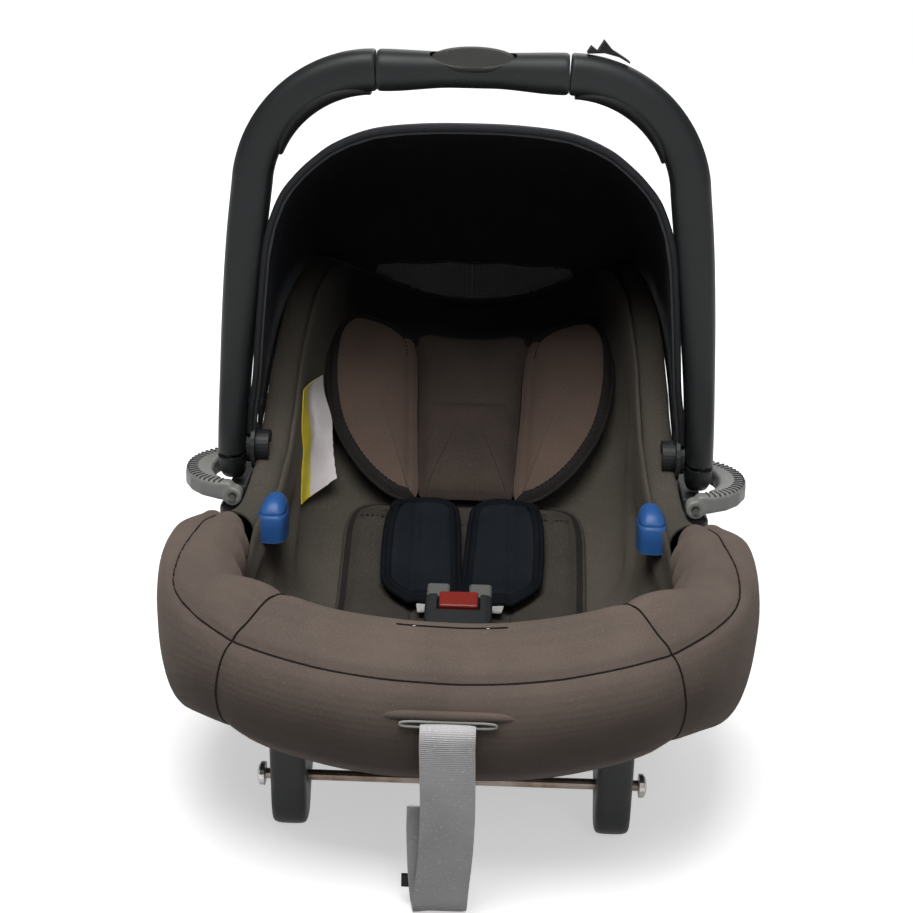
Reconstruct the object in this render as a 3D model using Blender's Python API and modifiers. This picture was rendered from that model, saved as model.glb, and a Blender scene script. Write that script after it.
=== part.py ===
"""An infant car seat on its stand rails: moulded shell, padded cover, harness, headrest, hood and carry handle.

Lengths in the tables and constants are millimetres, measured from the hinge line of the carry handle
(X to the seat's left-hand side as it faces the viewer, Y towards the head end, Z up from the floor).
place() turns them into the part's own frame in metres.
"""

import math

import bmesh
import bpy
import numpy as np
from mathutils import Matrix, Vector
from mathutils.bvhtree import BVHTree

MM = 0.001
HINGE_Y = 35.8  # the handle's hinge line, behind the middle of the seat's length
HINGE_Z = 222.0
GAP = 0.4
ENVELOPE_GAP = 1.0

# The shell's rim from the middle of the foot end round one side to the middle of the head end: x, y, z.
RIM = [
    (0, -300, 163),
    (70, -299, 168),
    (133, -284, 179),
    (175, -241, 187),
    (194, -184, 189),
    (198, -130, 189),
    (192, -86, 186),
    (180, -50, 187),
    (174, 0, 214),
    (172, 50, 249),
    (170, 100, 285),
    (164, 150, 318),
    (152, 196, 334),
    (136, 232, 328),
    (94, 255, 307),
    (48, 265, 288),
    (0, 268, 281),
]
# The shell's underside along the middle: y, z. The lowest point is under the child's seat.
SPINE = [
    (-320, 104),
    (-260, 92),
    (-180, 72),
    (-100, 56),
    (-40, 50),
    (0, 58),
    (40, 80),
    (120, 140),
    (200, 200),
    (280, 262),
]
BIGHT_Y = -30.0  # where the seat pan meets the backrest
BACK_ANGLE = math.radians(36)
TUB_ROUNDING = 0.46  # power of the superellipse that rounds the tub's walls into its floor
RIM_STEPS = 20  # steps of the rim in each half
RING_LEVELS = 7

SHELL_WALL = 5.0
FOAM_INSET, FOAM_LIFT, FOAM_WALL = 9.0, 14.0, 7.0
LINING_INSET, LINING_LIFT, LINING_WALL = 18.0, 31.0, 4.0
LINING_FRONT_DROP = 32.0
COVER_CLEARANCE = 2.2

ARCH_TOP_Z = 536.0
ARCH_FLAT_X = 76.0
ARCH_RADIUS = 100.0
GRIP_SEAM_X = 75.0
INLAY_THICKNESS = 2.0

HUB_RADIUS = 14.0
PIVOT_PIN_RADIUS = 6.0

LEG_X = 121.0
FRONT_BAR_Y, REAR_BAR_Y, BAR_Z, BAR_RADIUS = -224.0, 78.0, 40.0, 4.0
BAR_CAP_X = 140.0

LEVER_PIN_X, LEVER_PIN_Z, LEVER_PIN_RADIUS = 194.0, 187.0, 3.0
LEVER_MID_Y = 17.0


def place(x, y, z):
    """Millimetres from the hinge line to the part's frame in metres."""
    return Vector((x, y + HINGE_Y, z)) * MM


def clear_scene():
    for obj in list(bpy.data.objects):
        bpy.data.objects.remove(obj)


def collection(name):
    made = bpy.data.collections.new(name)
    bpy.context.scene.collection.children.link(made)
    return made


def material(name, rgb, roughness, metallic=0.0):
    made = bpy.data.materials.new(name)
    made.use_nodes = True
    shader = made.node_tree.nodes["Principled BSDF"]
    shader.inputs["Base Color"].default_value = (*rgb, 1.0)
    shader.inputs["Roughness"].default_value = roughness
    shader.inputs["Metallic"].default_value = metallic
    return made


def smooth_curve(points, count, level_start=False, level_end=False):
    """count + 1 points of a Catmull-Rom curve through the points. A level end meets its mirror image in X smoothly."""
    knots = np.array(points, float)
    mirror = np.ones(knots.shape[1])
    mirror[0] = -1
    before = knots[1] * mirror if level_start else 2 * knots[0] - knots[1]
    after = knots[-2] * mirror if level_end else 2 * knots[-1] - knots[-2]
    padded = np.vstack([before, knots, after])
    made = []
    for place_in in np.linspace(0, len(knots) - 1, count + 1):
        i = min(int(place_in), len(knots) - 2)
        t = place_in - i
        a, b, c, d = padded[i : i + 4]
        square = 2 * a - 5 * b + 4 * c - d
        cube = 3 * b - a - 3 * c + d
        made.append(0.5 * (2 * b + (c - a) * t + square * t**2 + cube * t**3))
    return np.array(made)


def smoothstep(value, low, high):
    t = min(1.0, max(0.0, (value - low) / (high - low)))
    return t * t * (3 - 2 * t)


def spine_z(y):
    curve = smooth_curve(SPINE, 60)
    return float(np.interp(y, curve[:, 0], curve[:, 1]))


def rim_curve(count):
    """The rim all round, from the head end's middle through -X, the foot end and +X, with its outward normals."""
    half = smooth_curve(RIM, count, True, True)
    left = half[1:-1] * np.array([-1, 1, 1])
    loop = np.vstack([half, left[::-1]])
    ahead, behind = np.roll(loop, -1, 0), np.roll(loop, 1, 0)
    along = (ahead - behind)[:, :2]
    along /= np.linalg.norm(along, axis=1)[:, None]
    return loop, np.column_stack([along[:, 1], -along[:, 0]])


def tub_rings(inset, lift, drop_at, levels=RING_LEVELS, count=RIM_STEPS):
    """Rings from the rim down to the floor's middle, each the rim drawn in towards the bight."""
    loop, normal = rim_curve(count)
    rings = []
    for t in np.linspace(0, 1, levels + 1)[:-1]:
        across = math.cos(t * math.pi / 2) ** TUB_ROUNDING
        down = math.sin(t * math.pi / 2) ** TUB_ROUNDING
        ring = []
        for (x, y, z), (nx, ny) in zip(loop, normal):
            top = z - drop_at(y)
            px = (x - nx * inset) * across
            py = BIGHT_Y + (y - ny * inset - BIGHT_Y) * across
            ring.append(place(px, py, top - (top - spine_z(py) - lift) * down))
        rings.append(ring)
    rings.append([place(0, BIGHT_Y, spine_z(BIGHT_Y) + lift)])
    return rings


def mesh_object(name, verts, faces, finish, home, smooth=True):
    mesh = bpy.data.meshes.new(name)
    mesh.from_pydata([tuple(v) for v in verts], [], faces)
    made = bpy.data.objects.new(name, mesh)
    home.objects.link(made)
    mesh.materials.append(finish)
    if smooth:
        mesh.shade_smooth()
        mesh.set_sharp_from_angle(angle=math.radians(40))
    return made


def outwards(obj):
    """Turns every face of a closed mesh to point out."""
    mesh = bmesh.new()
    mesh.from_mesh(obj.data)
    bmesh.ops.recalc_face_normals(mesh, faces=mesh.faces)
    mesh.to_mesh(obj.data)
    mesh.free()
    return obj


def skin(rings, wrap):
    """Vertices and faces of the surface through the rings. wrap closes each ring; a ring of one point is a pole."""
    verts, starts, faces = [], [], []
    for ring in rings:
        starts.append(len(verts))
        verts.extend(ring)
    for i, (upper, lower) in enumerate(zip(rings, rings[1:])):
        a, b, n = starts[i], starts[i + 1], len(upper)
        for j in range(n if wrap else n - 1):
            k = (j + 1) % n
            if len(lower) == 1:
                faces.append((a + j, a + k, b))
            else:
                faces.append((a + j, a + k, b + k, b + j))
    return verts, faces


def loft(name, rings, finish, home, smooth=True):
    """A closed solid through rings of equal length, with flat ends."""
    verts, faces = skin(rings, True)
    n = len(rings[0])
    faces.append(tuple(range(n)))
    faces.append(tuple(range(len(verts) - n, len(verts))))
    return outwards(mesh_object(name, verts, faces, finish, home, smooth))


def slab(name, lower, upper, finish, home):
    """A closed solid between two grids of equal size."""
    rows, columns = len(lower), len(lower[0])
    rings = [list(low) + list(reversed(high)) for low, high in zip(lower, upper)]
    verts, faces = skin(rings, True)
    for row in (0, rows - 1):
        start = row * columns * 2
        for j in range(columns - 1):
            faces.append((start + j, start + j + 1, start + 2 * columns - 2 - j, start + 2 * columns - 1 - j))
    return outwards(mesh_object(name, verts, faces, finish, home))


def solidify(obj, thickness, offset):
    step = obj.modifiers.new("wall", "SOLIDIFY")
    step.thickness = thickness * MM
    step.offset = offset
    step.use_even_offset = True
    step.use_quality_normals = True
    return obj


def bevel(obj, width, segments=2, angle=35):
    step = obj.modifiers.new("edges", "BEVEL")
    step.width = width * MM
    step.segments = segments
    step.limit_method = "ANGLE"
    step.angle_limit = math.radians(angle)
    return obj


def cut(obj, cutter):
    step = obj.modifiers.new("cut", "BOOLEAN")
    step.operation = "DIFFERENCE"
    step.solver = "EXACT"
    step.object = cutter
    return obj


def join(obj, other):
    step = obj.modifiers.new("join", "BOOLEAN")
    step.operation = "UNION"
    step.solver = "EXACT"
    step.object = other
    return obj


def as_cutter(obj, home):
    for user in list(obj.users_collection):
        user.objects.unlink(obj)
    home.objects.link(obj)
    obj.hide_render = True
    obj.display_type = "WIRE"
    return obj


def box(name, low, high, finish, home):
    """A box between two corners in millimetres about the hinge line."""
    mesh = bmesh.new()
    bmesh.ops.create_cube(mesh, size=1.0)
    a, b = place(*low), place(*high)
    for vert in mesh.verts:
        vert.co = Vector([(a[k] + b[k]) / 2 + vert.co[k] * (b[k] - a[k]) for k in range(3)])
    data = bpy.data.meshes.new(name)
    mesh.to_mesh(data)
    mesh.free()
    data.materials.append(finish)
    made = bpy.data.objects.new(name, data)
    home.objects.link(made)
    return made


def cylinder(name, start, end, radius, finish, home, end_radius=None, segments=24):
    """A cylinder or cone between two points in millimetres about the hinge line."""
    a, b = place(*start), place(*end)
    mesh = bmesh.new()
    bmesh.ops.create_cone(
        mesh,
        cap_ends=True,
        segments=segments,
        radius1=radius * MM,
        radius2=(radius if end_radius is None else end_radius) * MM,
        depth=(b - a).length,
    )
    turn = (b - a).to_track_quat("Z", "Y").to_matrix().to_4x4()
    turn.translation = (a + b) / 2
    bmesh.ops.transform(mesh, matrix=turn, verts=mesh.verts)
    data = bpy.data.meshes.new(name)
    mesh.to_mesh(data)
    mesh.free()
    data.materials.append(finish)
    data.shade_smooth()
    data.set_sharp_from_angle(angle=math.radians(40))
    made = bpy.data.objects.new(name, data)
    home.objects.link(made)
    return made


def flat_shape(name, outline, axis, low, high, finish, home):
    """A filled 2D outline pushed along an axis from low to high. The outline's two numbers are the other two axes."""
    curve = bpy.data.curves.new(name, "CURVE")
    curve.dimensions = "2D"
    curve.fill_mode = "BOTH"
    curve.extrude = (high - low) / 2 * MM
    spline = curve.splines.new("POLY")
    spline.points.add(len(outline) - 1)
    for point, (a, b) in zip(spline.points, outline):
        point.co = (a * MM, b * MM, 0, 1)
    spline.use_cyclic_u = True
    drawn = bpy.data.objects.new(name + "_outline", curve)
    home.objects.link(drawn)
    columns = {"X": "YZX", "Y": "XZY", "Z": "XYZ"}[axis]
    turn = Matrix([[1.0 if columns[k] == row else 0.0 for k in range(3)] for row in "XYZ"])
    middle = {"X": ((low + high) / 2, 0, 0), "Y": (0, (low + high) / 2, 0), "Z": (0, 0, (low + high) / 2)}[axis]
    data = bpy.data.meshes.new_from_object(drawn.evaluated_get(bpy.context.evaluated_depsgraph_get()))
    bpy.data.objects.remove(drawn)
    data.transform(Matrix.Translation(place(*middle)) @ turn.to_4x4())
    data.materials.clear()
    data.materials.append(finish)
    mesh = bmesh.new()
    mesh.from_mesh(data)
    bmesh.ops.remove_doubles(mesh, verts=mesh.verts, dist=1e-6)
    bmesh.ops.recalc_face_normals(mesh, faces=mesh.faces)
    mesh.to_mesh(data)
    mesh.free()
    made = bpy.data.objects.new(name, data)
    home.objects.link(made)
    return made


def hang(obj, x, y, z):
    """Moves the object's origin to a point on its joint's axis, and leaves its shape where it is."""
    origin = place(x, y, z)
    obj.data.transform(Matrix.Translation(-origin))
    obj.location = origin
    return obj


def arc(cx, cy, radius, start, end, count, squash=1.0):
    """Points on an arc, in degrees, both ends included."""
    angles = np.radians(np.linspace(start, end, count))
    return [(cx + radius * math.cos(a), cy + radius * squash * math.sin(a)) for a in angles]


# Shell, foam and lining


def lining_drop(y):
    return LINING_FRONT_DROP * (1 - smoothstep(y, -34, 24)) - 2.0


def seat_shell(finish, home, cutters):
    verts, faces = skin(tub_rings(0, 0, lambda y: 0.0), True)
    shell = solidify(mesh_object("seat_shell", verts, faces, finish, home), SHELL_WALL, 1.0)
    slot = as_cutter(box("strap_slot", (-23, -345, 148), (23, -280, 156), finish, home), cutters)
    return cut(shell, slot)


def shell_envelope(cutters, finish):
    """The shell with its mouth closed and a little bigger, for trimming what bears on its outside."""
    rings = tub_rings(-ENVELOPE_GAP, -ENVELOPE_GAP, lambda y: -ENVELOPE_GAP)
    verts, faces = skin(rings, True)
    count = len(rings[0])
    middle = len(verts)
    verts.append(sum(rings[0], Vector()) / count + Vector((0, 0, 60 * MM)))
    faces += [(j, (j + 1) % count, middle) for j in range(count)]
    return as_cutter(outwards(mesh_object("shell_envelope", verts, faces, finish, cutters)), cutters)


def foam_liner(finish, home):
    """Energy-absorbing foam behind the child's back and head, between shell and lining."""
    rings = tub_rings(FOAM_INSET, FOAM_LIFT, lambda y: 8.0)[:-1]
    count = len(rings[0])
    quarter = count // 4
    head = [(quarter + 1 + k) % count for k in range(count // 2 - 1)]
    strip = [[ring[j] for j in head] for ring in rings[:6]]
    verts, faces = skin(strip, False)
    return solidify(mesh_object("foam_liner", verts, faces, finish, home), FOAM_WALL, 1.0)


def lining(finish, home):
    verts, faces = skin(tub_rings(LINING_INSET, LINING_LIFT, lining_drop), True)
    return solidify(mesh_object("seat_lining", verts, faces, finish, home), LINING_WALL, 1.0)


# Padded cover round the foot end


# The pad's outline round the rim: distance outwards from the rim and height above it, from the outer hem over the top
# to the inner hem, at the middle of the foot end and at the sides.
COVER_FOOT = [
    (11, -70), (25, -55), (34, -30), (34, -8), (24, 13), (7, 25), (-11, 35), (-21, 34), (-29, 24), (-31, 6),
    (-28, -12),
]
COVER_SIDE = [
    (4, -90), (18, -87), (28, -66), (31, -28), (27, 4), (14, 14), (-6, 15), (-18, 12), (-28, 2), (-32, -12),
    (-29, -26),
]
COVER_END_Y = -84.0
COVER_STEPS = 32


def cover_outline(foot, end):
    """The outline between the side's and the foot end's, drawn in where the pad ends."""
    made = []
    for (side_n, side_h), (foot_n, foot_h) in zip(COVER_SIDE, COVER_FOOT):
        n, h = side_n + (foot_n - side_n) * foot, side_h + (foot_h - side_h) * foot
        made.append((n * (1 - 0.35 * end), h * (1 - 0.25 * end)))
    return made


def cover_section(foot, end):
    """The pad's closed cross-section, hooked over the shell's wall."""
    inner = -SHELL_WALL - COVER_CLEARANCE
    hook = [(-22, -17 - 10 * (1 - foot)), (inner, COVER_CLEARANCE), (COVER_CLEARANCE, COVER_CLEARANCE)]
    return cover_outline(foot, end) + hook + [(COVER_CLEARANCE, -62 - 26 * (1 - foot))]


def front_cover(finish, home, cutters):
    loop, normal = rim_curve(COVER_STEPS)
    count = len(loop)
    sides = [j for j in range(-COVER_STEPS, COVER_STEPS) if loop[j % count][1] < COVER_END_Y]
    rings = []
    for j in sides:
        (x, y, z), (nx, ny) = loop[j % count], normal[j % count]
        section = cover_section(smoothstep(-y, 215, 285), smoothstep(y, -125, COVER_END_Y))
        rings.append([place(x + nx * n, y + ny * n, z + h) for n, h in section])
    pad = loft("front_cover", rings, finish, home)
    slot = box("bezel_slot", (-37, -360, 145.6), (37, -290, 158.4), finish, home)
    cut(pad, as_cutter(slot, cutters))
    pocket = box("adjuster_pocket", (-24, -297.5, 120), (24, -262, 177), finish, home)
    return cut(pad, as_cutter(pocket, cutters))


# Surfaces that soft parts rest on


class SeatSurface:
    """Finds points on top of what has been laid in the seat so far."""

    def __init__(self):
        self.verts, self.faces = [], []

    def add(self, obj):
        graph = bpy.context.evaluated_depsgraph_get()
        mesh = obj.evaluated_get(graph).to_mesh()
        start = len(self.verts)
        self.verts += [obj.matrix_world @ v.co for v in mesh.vertices]
        self.faces += [tuple(start + i for i in p.vertices) for p in mesh.polygons]
        self.tree = BVHTree.FromPolygons(self.verts, self.faces)

    def at(self, x, s, height):
        """The point a height above the surface, x across and s up the seat's middle line from the bight."""
        lean = BACK_ANGLE * smoothstep(s, -45, 35) - math.radians(14) * smoothstep(-s, -5, 60)
        rise = max(s, 0) * math.sin(BACK_ANGLE) + max(-s, 0) * math.sin(math.radians(14))
        run = max(s, 0) * math.cos(BACK_ANGLE) + min(s, 0) * math.cos(math.radians(14))
        up = Vector((0, -math.sin(lean), math.cos(lean)))
        middle = place(x, BIGHT_Y + 4 + run, 84 + rise)
        hit = self.tree.ray_cast(middle + up * 0.12, -up)[0]
        return (hit or middle) + up * height * MM


def cushion(name, surface, width_at, s_range, base, height_at, finish, home, rows=9, columns=9, shift_at=None):
    """A pad laid in the seat: its half-width and height vary along and across it."""
    lower, upper = [], []
    for s in np.linspace(*s_range, rows):
        low_row, high_row = [], []
        share = (s - s_range[0]) / (s_range[1] - s_range[0])
        middle = shift_at(share) if shift_at else 0.0
        for across in np.linspace(-1, 1, columns):
            x = middle + across * width_at(share)
            point = surface.at(x, s, base)
            low_row.append(point)
            up = surface.at(x, s, base + 1) - point
            high_row.append(point + up * height_at(share, across))
        lower.append(low_row)
        upper.append(high_row)
    return slab(name, lower, upper, finish, home)


def dome(share, across, height, edge):
    """Height of a crowned pad that falls to its edge height all round."""
    return edge + (height - edge) * (1 - abs(across) ** 3) * (1 - abs(2 * share - 1) ** 4)


def newborn_insert(surface, finish, home):
    def width(share):
        return 102 - 20 * abs(2 * share - 1) ** 4

    def height(share, across):
        bolster = 10 * smoothstep(abs(across), 0.45, 0.85) * (1 - smoothstep(abs(across), 0.85, 1.0) * 0.75)
        return dome(share, across, 13, 5) + bolster

    return cushion("newborn_insert", surface, width, (-150, 112), 1.5, height, finish, home, rows=11, columns=11)


# Headrest

HEADREST_LOW, HEADREST_HIGH = 110.0, 304.0
HEADREST_LEAN = BACK_ANGLE
HEADREST_BASE = (BIGHT_Y + 4, 88.0)  # y and z of the plane behind the headrest at the height of the bight


def headrest_point(x, s, height):
    """A point on the headrest's flat back plane: x across, s up the plane and a height off it."""
    y = HEADREST_BASE[0] + s * math.cos(HEADREST_LEAN) - height * math.sin(HEADREST_LEAN)
    return place(x, y, HEADREST_BASE[1] + s * math.sin(HEADREST_LEAN) + height * math.cos(HEADREST_LEAN))


def flat_pad(name, edges_at, back_at, thick_at, finish, home, rows, columns):
    """A pad on the headrest's plane. edges_at gives the ends of each row in x, back_at how far its back stands off."""
    lower, upper = [], []
    for share in np.linspace(0, 1, rows):
        s = HEADREST_LOW + share * (HEADREST_HIGH - HEADREST_LOW)
        inner, outer = edges_at(share)
        low_row, high_row = [], []
        for across in np.linspace(0, 1, columns):
            x = inner + across * (outer - inner)
            back = back_at(share, across)
            low_row.append(headrest_point(x, s, back))
            high_row.append(headrest_point(x, s, back + thick_at(share, across)))
        lower.append(low_row)
        upper.append(high_row)
    return slab(name, lower, upper, finish, home)


def headrest_board(finish, home):
    """The stiff board that carries the pads and slides on the shell's back."""
    outline = [(-60, 140), (60, 140), (76, 175), (76, 225), (52, 265), (-52, 265), (-76, 225), (-76, 175)]
    lower = [headrest_point(x, s, -3.4) for x, s in outline]
    upper = [headrest_point(x, s, -0.4) for x, s in outline]
    return loft("headrest_board", [lower, upper], finish, home, smooth=False)


def headrest_center(finish, home):
    def edges(share):
        return -44 - 10 * share, 44 + 10 * share

    def thick(share, across):
        return dome(share, 2 * across - 1, 17, 8)

    return flat_pad("headrest_center", edges, lambda share, across: 0.0, thick, finish, home, 8, 7)


def headrest_wing(side, finish, home):
    """One ear of the headrest: an oval pad that stands up towards its outer edge."""

    def bulge(share):
        return math.sqrt(max(0.0, 1 - abs(1.76 * share - 0.9) ** 2.2))

    def edges(share):
        inner = 45.5 + 10 * share
        return side * inner, side * (inner + 10 + 66 * bulge(share) ** 0.8)

    def back(share, across):
        return 26 * across**1.5 * bulge(share)

    def thick(share, across):
        return 6 + 15 * bulge(share) ** 0.6 * (1 - abs(2 * across - 1) ** 2.5)

    name = "headrest_wing_right" if side > 0 else "headrest_wing_left"
    return flat_pad(name, edges, back, thick, finish, home, 10, 6)


# Harness


def ribbon(name, points, width, thickness, finish, home, sideways=None):
    """A flat strap along the points in metres. sideways is the strap's width direction."""
    rings = []
    across = Vector(sideways or (1, 0, 0))
    for i, point in enumerate(points):
        along = (points[min(i + 1, len(points) - 1)] - points[max(i - 1, 0)]).normalized()
        flat = across.normalized()
        face = along.cross(flat).normalized()
        flat = face.cross(along).normalized()
        a, b = flat * width / 2 * MM, face * thickness / 2 * MM
        rings.append([point - a - b, point + a - b, point + a + b, point - a + b])
    return loft(name, rings, finish, home, smooth=False)


def shoulder_strap(side, surface, finish, home):
    points = [surface.at(side * (36 - 14 * t), 90 - 144 * t, 3.6) for t in np.linspace(0, 1, 12)]
    name = "shoulder_strap_right" if side > 0 else "shoulder_strap_left"
    return ribbon(name, points, 27, 1.4, finish, home)


SHOULDER_PAD_S = (-50, 106)  # the pads' lower and upper ends, along the seat from the bight


def shoulder_pad(side, surface, finish, home):
    def width(share):
        return 30 - 5 * abs(2 * share - 1) ** 6

    def height(share, across):
        return dome(share, across, 11, 5)

    name = "shoulder_pad_right" if side > 0 else "shoulder_pad_left"
    return cushion(
        name, surface, width, SHOULDER_PAD_S, 7.4, height, finish, home, rows=11, columns=7,
        shift_at=lambda share: side * (32 + 5 * share),
    )


BUCKLE_S = -108.0  # how far the buckle lies below the bight, along the seat pan
BUCKLE_LEAN = math.radians(14)


def lay_in_seat(obj, middle, x, y, z):
    """Tilts a piece made about the hinge line and sets it down at a point of the seat pan, moved by x, y and z."""
    turn = Matrix.Rotation(BUCKLE_LEAN, 4, "X")
    shift = Matrix.Translation(Vector((x, y, z)) * MM)
    obj.data.transform(Matrix.Translation(middle) @ turn @ shift @ Matrix.Translation(-place(0, 0, 0)))
    return obj


def buckle(surface, plastic, red, grey, home, cutters):
    """The crotch buckle on its strap, the two tongues in it, and its press button."""
    middle = surface.at(0, BUCKLE_S, 15.0)
    body = box("harness_buckle", (-27, -24, -9), (27, 24, 9), plastic, home)
    recess = box("buckle_recess", (-17, 2, 0), (17, 30, 30), plastic, cutters)
    button = box("buckle_button", (-15.5, 4, 4), (15.5, 22.5, 10.5), red, home)
    for piece in (body, recess, button):
        lay_in_seat(piece, middle, 0, 0, 0)
    bevel(body, 5, 2)
    bevel(button, 1.5, 2)
    cut(body, as_cutter(recess, cutters))
    pieces = [body, button]
    for side in (-1, 1):
        name = "buckle_tongue_right" if side > 0 else "buckle_tongue_left"
        tongue = box(name, (-9, -8, -2.5), (9, 8, 2.5), plastic, home)
        lay_in_seat(tongue, middle, side * 17, 33, 1.5)
        pieces.append(bevel(tongue, 1.5, 1))
    route = [surface.at(0, -158 + 20 * t, 5.5 + 3 * t) for t in np.linspace(0, 1, 4)]
    strap = ribbon("crotch_strap", route, 34, 1.8, grey, home)
    pieces.append(strap)
    return pieces


# Harness adjuster at the foot end


STRAP_Z = 152.0
STRAP_WIDTH, STRAP_THICKNESS = 37.0, 1.5
# The free end of the adjuster strap: out of its slot, down in front of the foot end, round and back up behind.
STRAP_ROUTE = [
    (0, -289, 152),
    (0, -330, 152),
    (0, -341, 151.2),
    (0, -346, 147),
    (0, -347.5, 138),
    (0.5, -347, 118),
    (1, -345, 88),
    (0, -342, 55),
    (-2, -340, 28),
    (-3, -338.5, 12),
    (-3.5, -336, 5.5),
    (-4, -332.5, 3.4),
    (-5, -329, 5.5),
    (-6.5, -327, 13),
    (-8, -326.5, 32),
    (-9, -328, 62),
    (-8.5, -331, 84),
]


def adjuster(grey, plastic, webbing, black, home, cutters):
    """The slot trim, the clamp behind it with its press button, and the strap that is pulled to tighten the harness."""
    bezel = box("strap_bezel", (-36, -340, 146), (36, -334.5, 158), grey, home)
    mouth = box("bezel_mouth", (-29, -350, 148.8), (29, -330, 155.2), grey, cutters)
    cut(bevel(bezel, 2, 1), as_cutter(mouth, cutters))
    housing = box("adjuster_housing", (-22, -290, 144.5), (22, -268, 165), plastic, home)
    throat = box("adjuster_throat", (-20, -300, 150), (20, -260, 154), plastic, cutters)
    well = box("button_well", (-14.5, -285.5, 155.4), (14.5, -271.5, 170), plastic, cutters)
    cut(housing, as_cutter(throat, cutters))
    cut(housing, as_cutter(well, cutters))
    button = bevel(box("adjuster_button", (-14, -285, 160), (14, -272, 170), plastic, home), 1.5, 1)
    strap = ribbon("adjuster_strap", strap_points(), STRAP_WIDTH, STRAP_THICKNESS, webbing, home)
    tip = box("strap_end_tab", (-31, -325.2, 15), (-18, -322.8, 25), black, home)
    return [bezel, housing, hang(button, 0, -278.5, 165), strap, tip]


def strap_points():
    return [place(*point) for point in smooth_curve(STRAP_ROUTE, 34)]


# Stand rails and latch bars


def rail(side, finish, home, cutters, envelope):
    """A side rail: a front leg with a round tip, a rear foot and the beam between them."""
    half = 13.5
    tip = [(-225 + 17 * math.cos(a), 17 - 17 * math.sin(a)) for a in np.radians(range(15, 166, 25))]
    outline = [(-207, 16)] + tip
    outline += [(-243, 20), (-252, 150), (140, 240), (122, 30), (112, 8), (104, 0), (52, 0), (44, 8), (34, 34)]
    outline += [(-190, 34)]
    name = "stand_rail_right" if side > 0 else "stand_rail_left"
    low, high = sorted((side * (LEG_X - half), side * (LEG_X + half)))
    made = flat_shape(name, outline, "X", low, high, finish, home)
    bevel(made, 5, 2, 50)
    cut(made, envelope)
    for label, y in (("front", FRONT_BAR_Y), ("rear", REAR_BAR_Y)):
        bore = cylinder(
            f"{label}_bore", (side * 90, y, BAR_Z), (side * 150, y, BAR_Z), BAR_RADIUS + GAP, finish, home, segments=16
        )
        cut(made, as_cutter(bore, cutters))
    return made


def domed_cap(name, side, y, finish, home):
    """A turned cap on the end of a latch bar: a short cylinder with a domed face."""
    dome_points = [(9 * math.sin(a), 2.5 + 3.5 * math.cos(a)) for a in np.radians((30, 60, 80))]
    profile = [(0, 6)] + dome_points + [(9, 0), (0, 0)]
    data = bpy.data.meshes.new(name)
    data.from_pydata([(r * MM, 0, h * MM) for r, h in profile], [(k, k + 1) for k in range(len(profile) - 1)], [])
    data.materials.append(finish)
    cap = bpy.data.objects.new(name, data)
    home.objects.link(cap)
    cap.rotation_euler = (0, side * math.pi / 2, 0)
    cap.location = place(side * (BAR_CAP_X + GAP), y, BAR_Z)
    turn = cap.modifiers.new("turn", "SCREW")
    turn.axis = "Z"
    turn.steps = turn.render_steps = 16
    turn.use_merge_vertices = True
    turn.merge_threshold = 1e-5
    turn.use_smooth_shade = True
    return cap


def latch_bars(steel, home):
    for label, y in (("front", FRONT_BAR_Y), ("rear", REAR_BAR_Y)):
        start, end = (-BAR_CAP_X, y, BAR_Z), (BAR_CAP_X, y, BAR_Z)
        cylinder(f"{label}_latch_bar", start, end, BAR_RADIUS, steel, home, segments=12)
        for side, word in ((-1, "left"), (1, "right")):
            domed_cap(f"{label}_bar_cap_{word}", side, y, steel, home)


# Carry handle


def hinge_cylinder(name, side, inner, outer, radius, finish, home, segments=24):
    """A cylinder about the hinge line, between two distances from the middle on one side."""
    ends = (side * inner, 0, HINGE_Z), (side * outer, 0, HINGE_Z)
    return cylinder(name, *ends, radius, finish, home, segments=segments)



def arch_path(side):
    """Centre points of the handle's arch from the grip seam to the hinge, x and z."""
    top = [(ARCH_FLAT_X, ARCH_TOP_Z)]
    corner = arc(ARCH_FLAT_X, ARCH_TOP_Z - ARCH_RADIUS, ARCH_RADIUS, 84, 4, 8)
    arm = smooth_curve([(175.8, 442.6), (181.5, 400), (187, 352), (191.5, 306), (195, 262), (197, HINGE_Z)], 6)[1:]
    return [(side * x, z) for x, z in top + corner + [tuple(p) for p in arm]]


def superellipse(count, power):
    """Unit points of a rounded square, for a moulded section."""
    made = []
    for a in np.linspace(0, 2 * math.pi, count, endpoint=False):
        c, s = math.cos(a), math.sin(a)
        made.append((math.copysign(abs(c) ** power, c), math.copysign(abs(s) ** power, s)))
    return made


def handle_arm(side, finish, home, cutters):
    path = arch_path(side)
    rings = []
    unit = superellipse(12, 0.68)
    for i, (x, z) in enumerate(path):
        ahead, behind = path[min(i + 1, len(path) - 1)], path[max(i - 1, 0)]
        tx, tz = ahead[0] - behind[0], ahead[1] - behind[1]
        size = math.hypot(tx, tz)
        nx, nz = tz / size, -tx / size
        thick = 11.8 + 4.2 * smoothstep(z, HINGE_Z, 430)
        deep = 17 + 9.5 * (1 - smoothstep(z, HINGE_Z + 8, HINGE_Z + 75))
        rings.append([place(x + nx * thick * c, deep * s, z + nz * thick * c) for c, s in unit])
    x, z = path[-1]
    for turn in np.radians([30, 55, 75, 87]):
        drop, deep = 28 * math.sin(turn), 26.5 * math.cos(turn)
        thick = 11.8 * (1 - 0.45 * math.sin(turn) ** 4)
        rings.append([place(x + side * thick * c, deep * s, z - drop) for c, s in unit])
    name = "handle_arm_right" if side > 0 else "handle_arm_left"
    arm = loft(name, rings, finish, home)
    bore = hinge_cylinder("pivot_bore", side, 170, 203, PIVOT_PIN_RADIUS + GAP, finish, home, 20)
    return hang(cut(arm, as_cutter(bore, cutters)), 0, 0, HINGE_Z)


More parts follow.
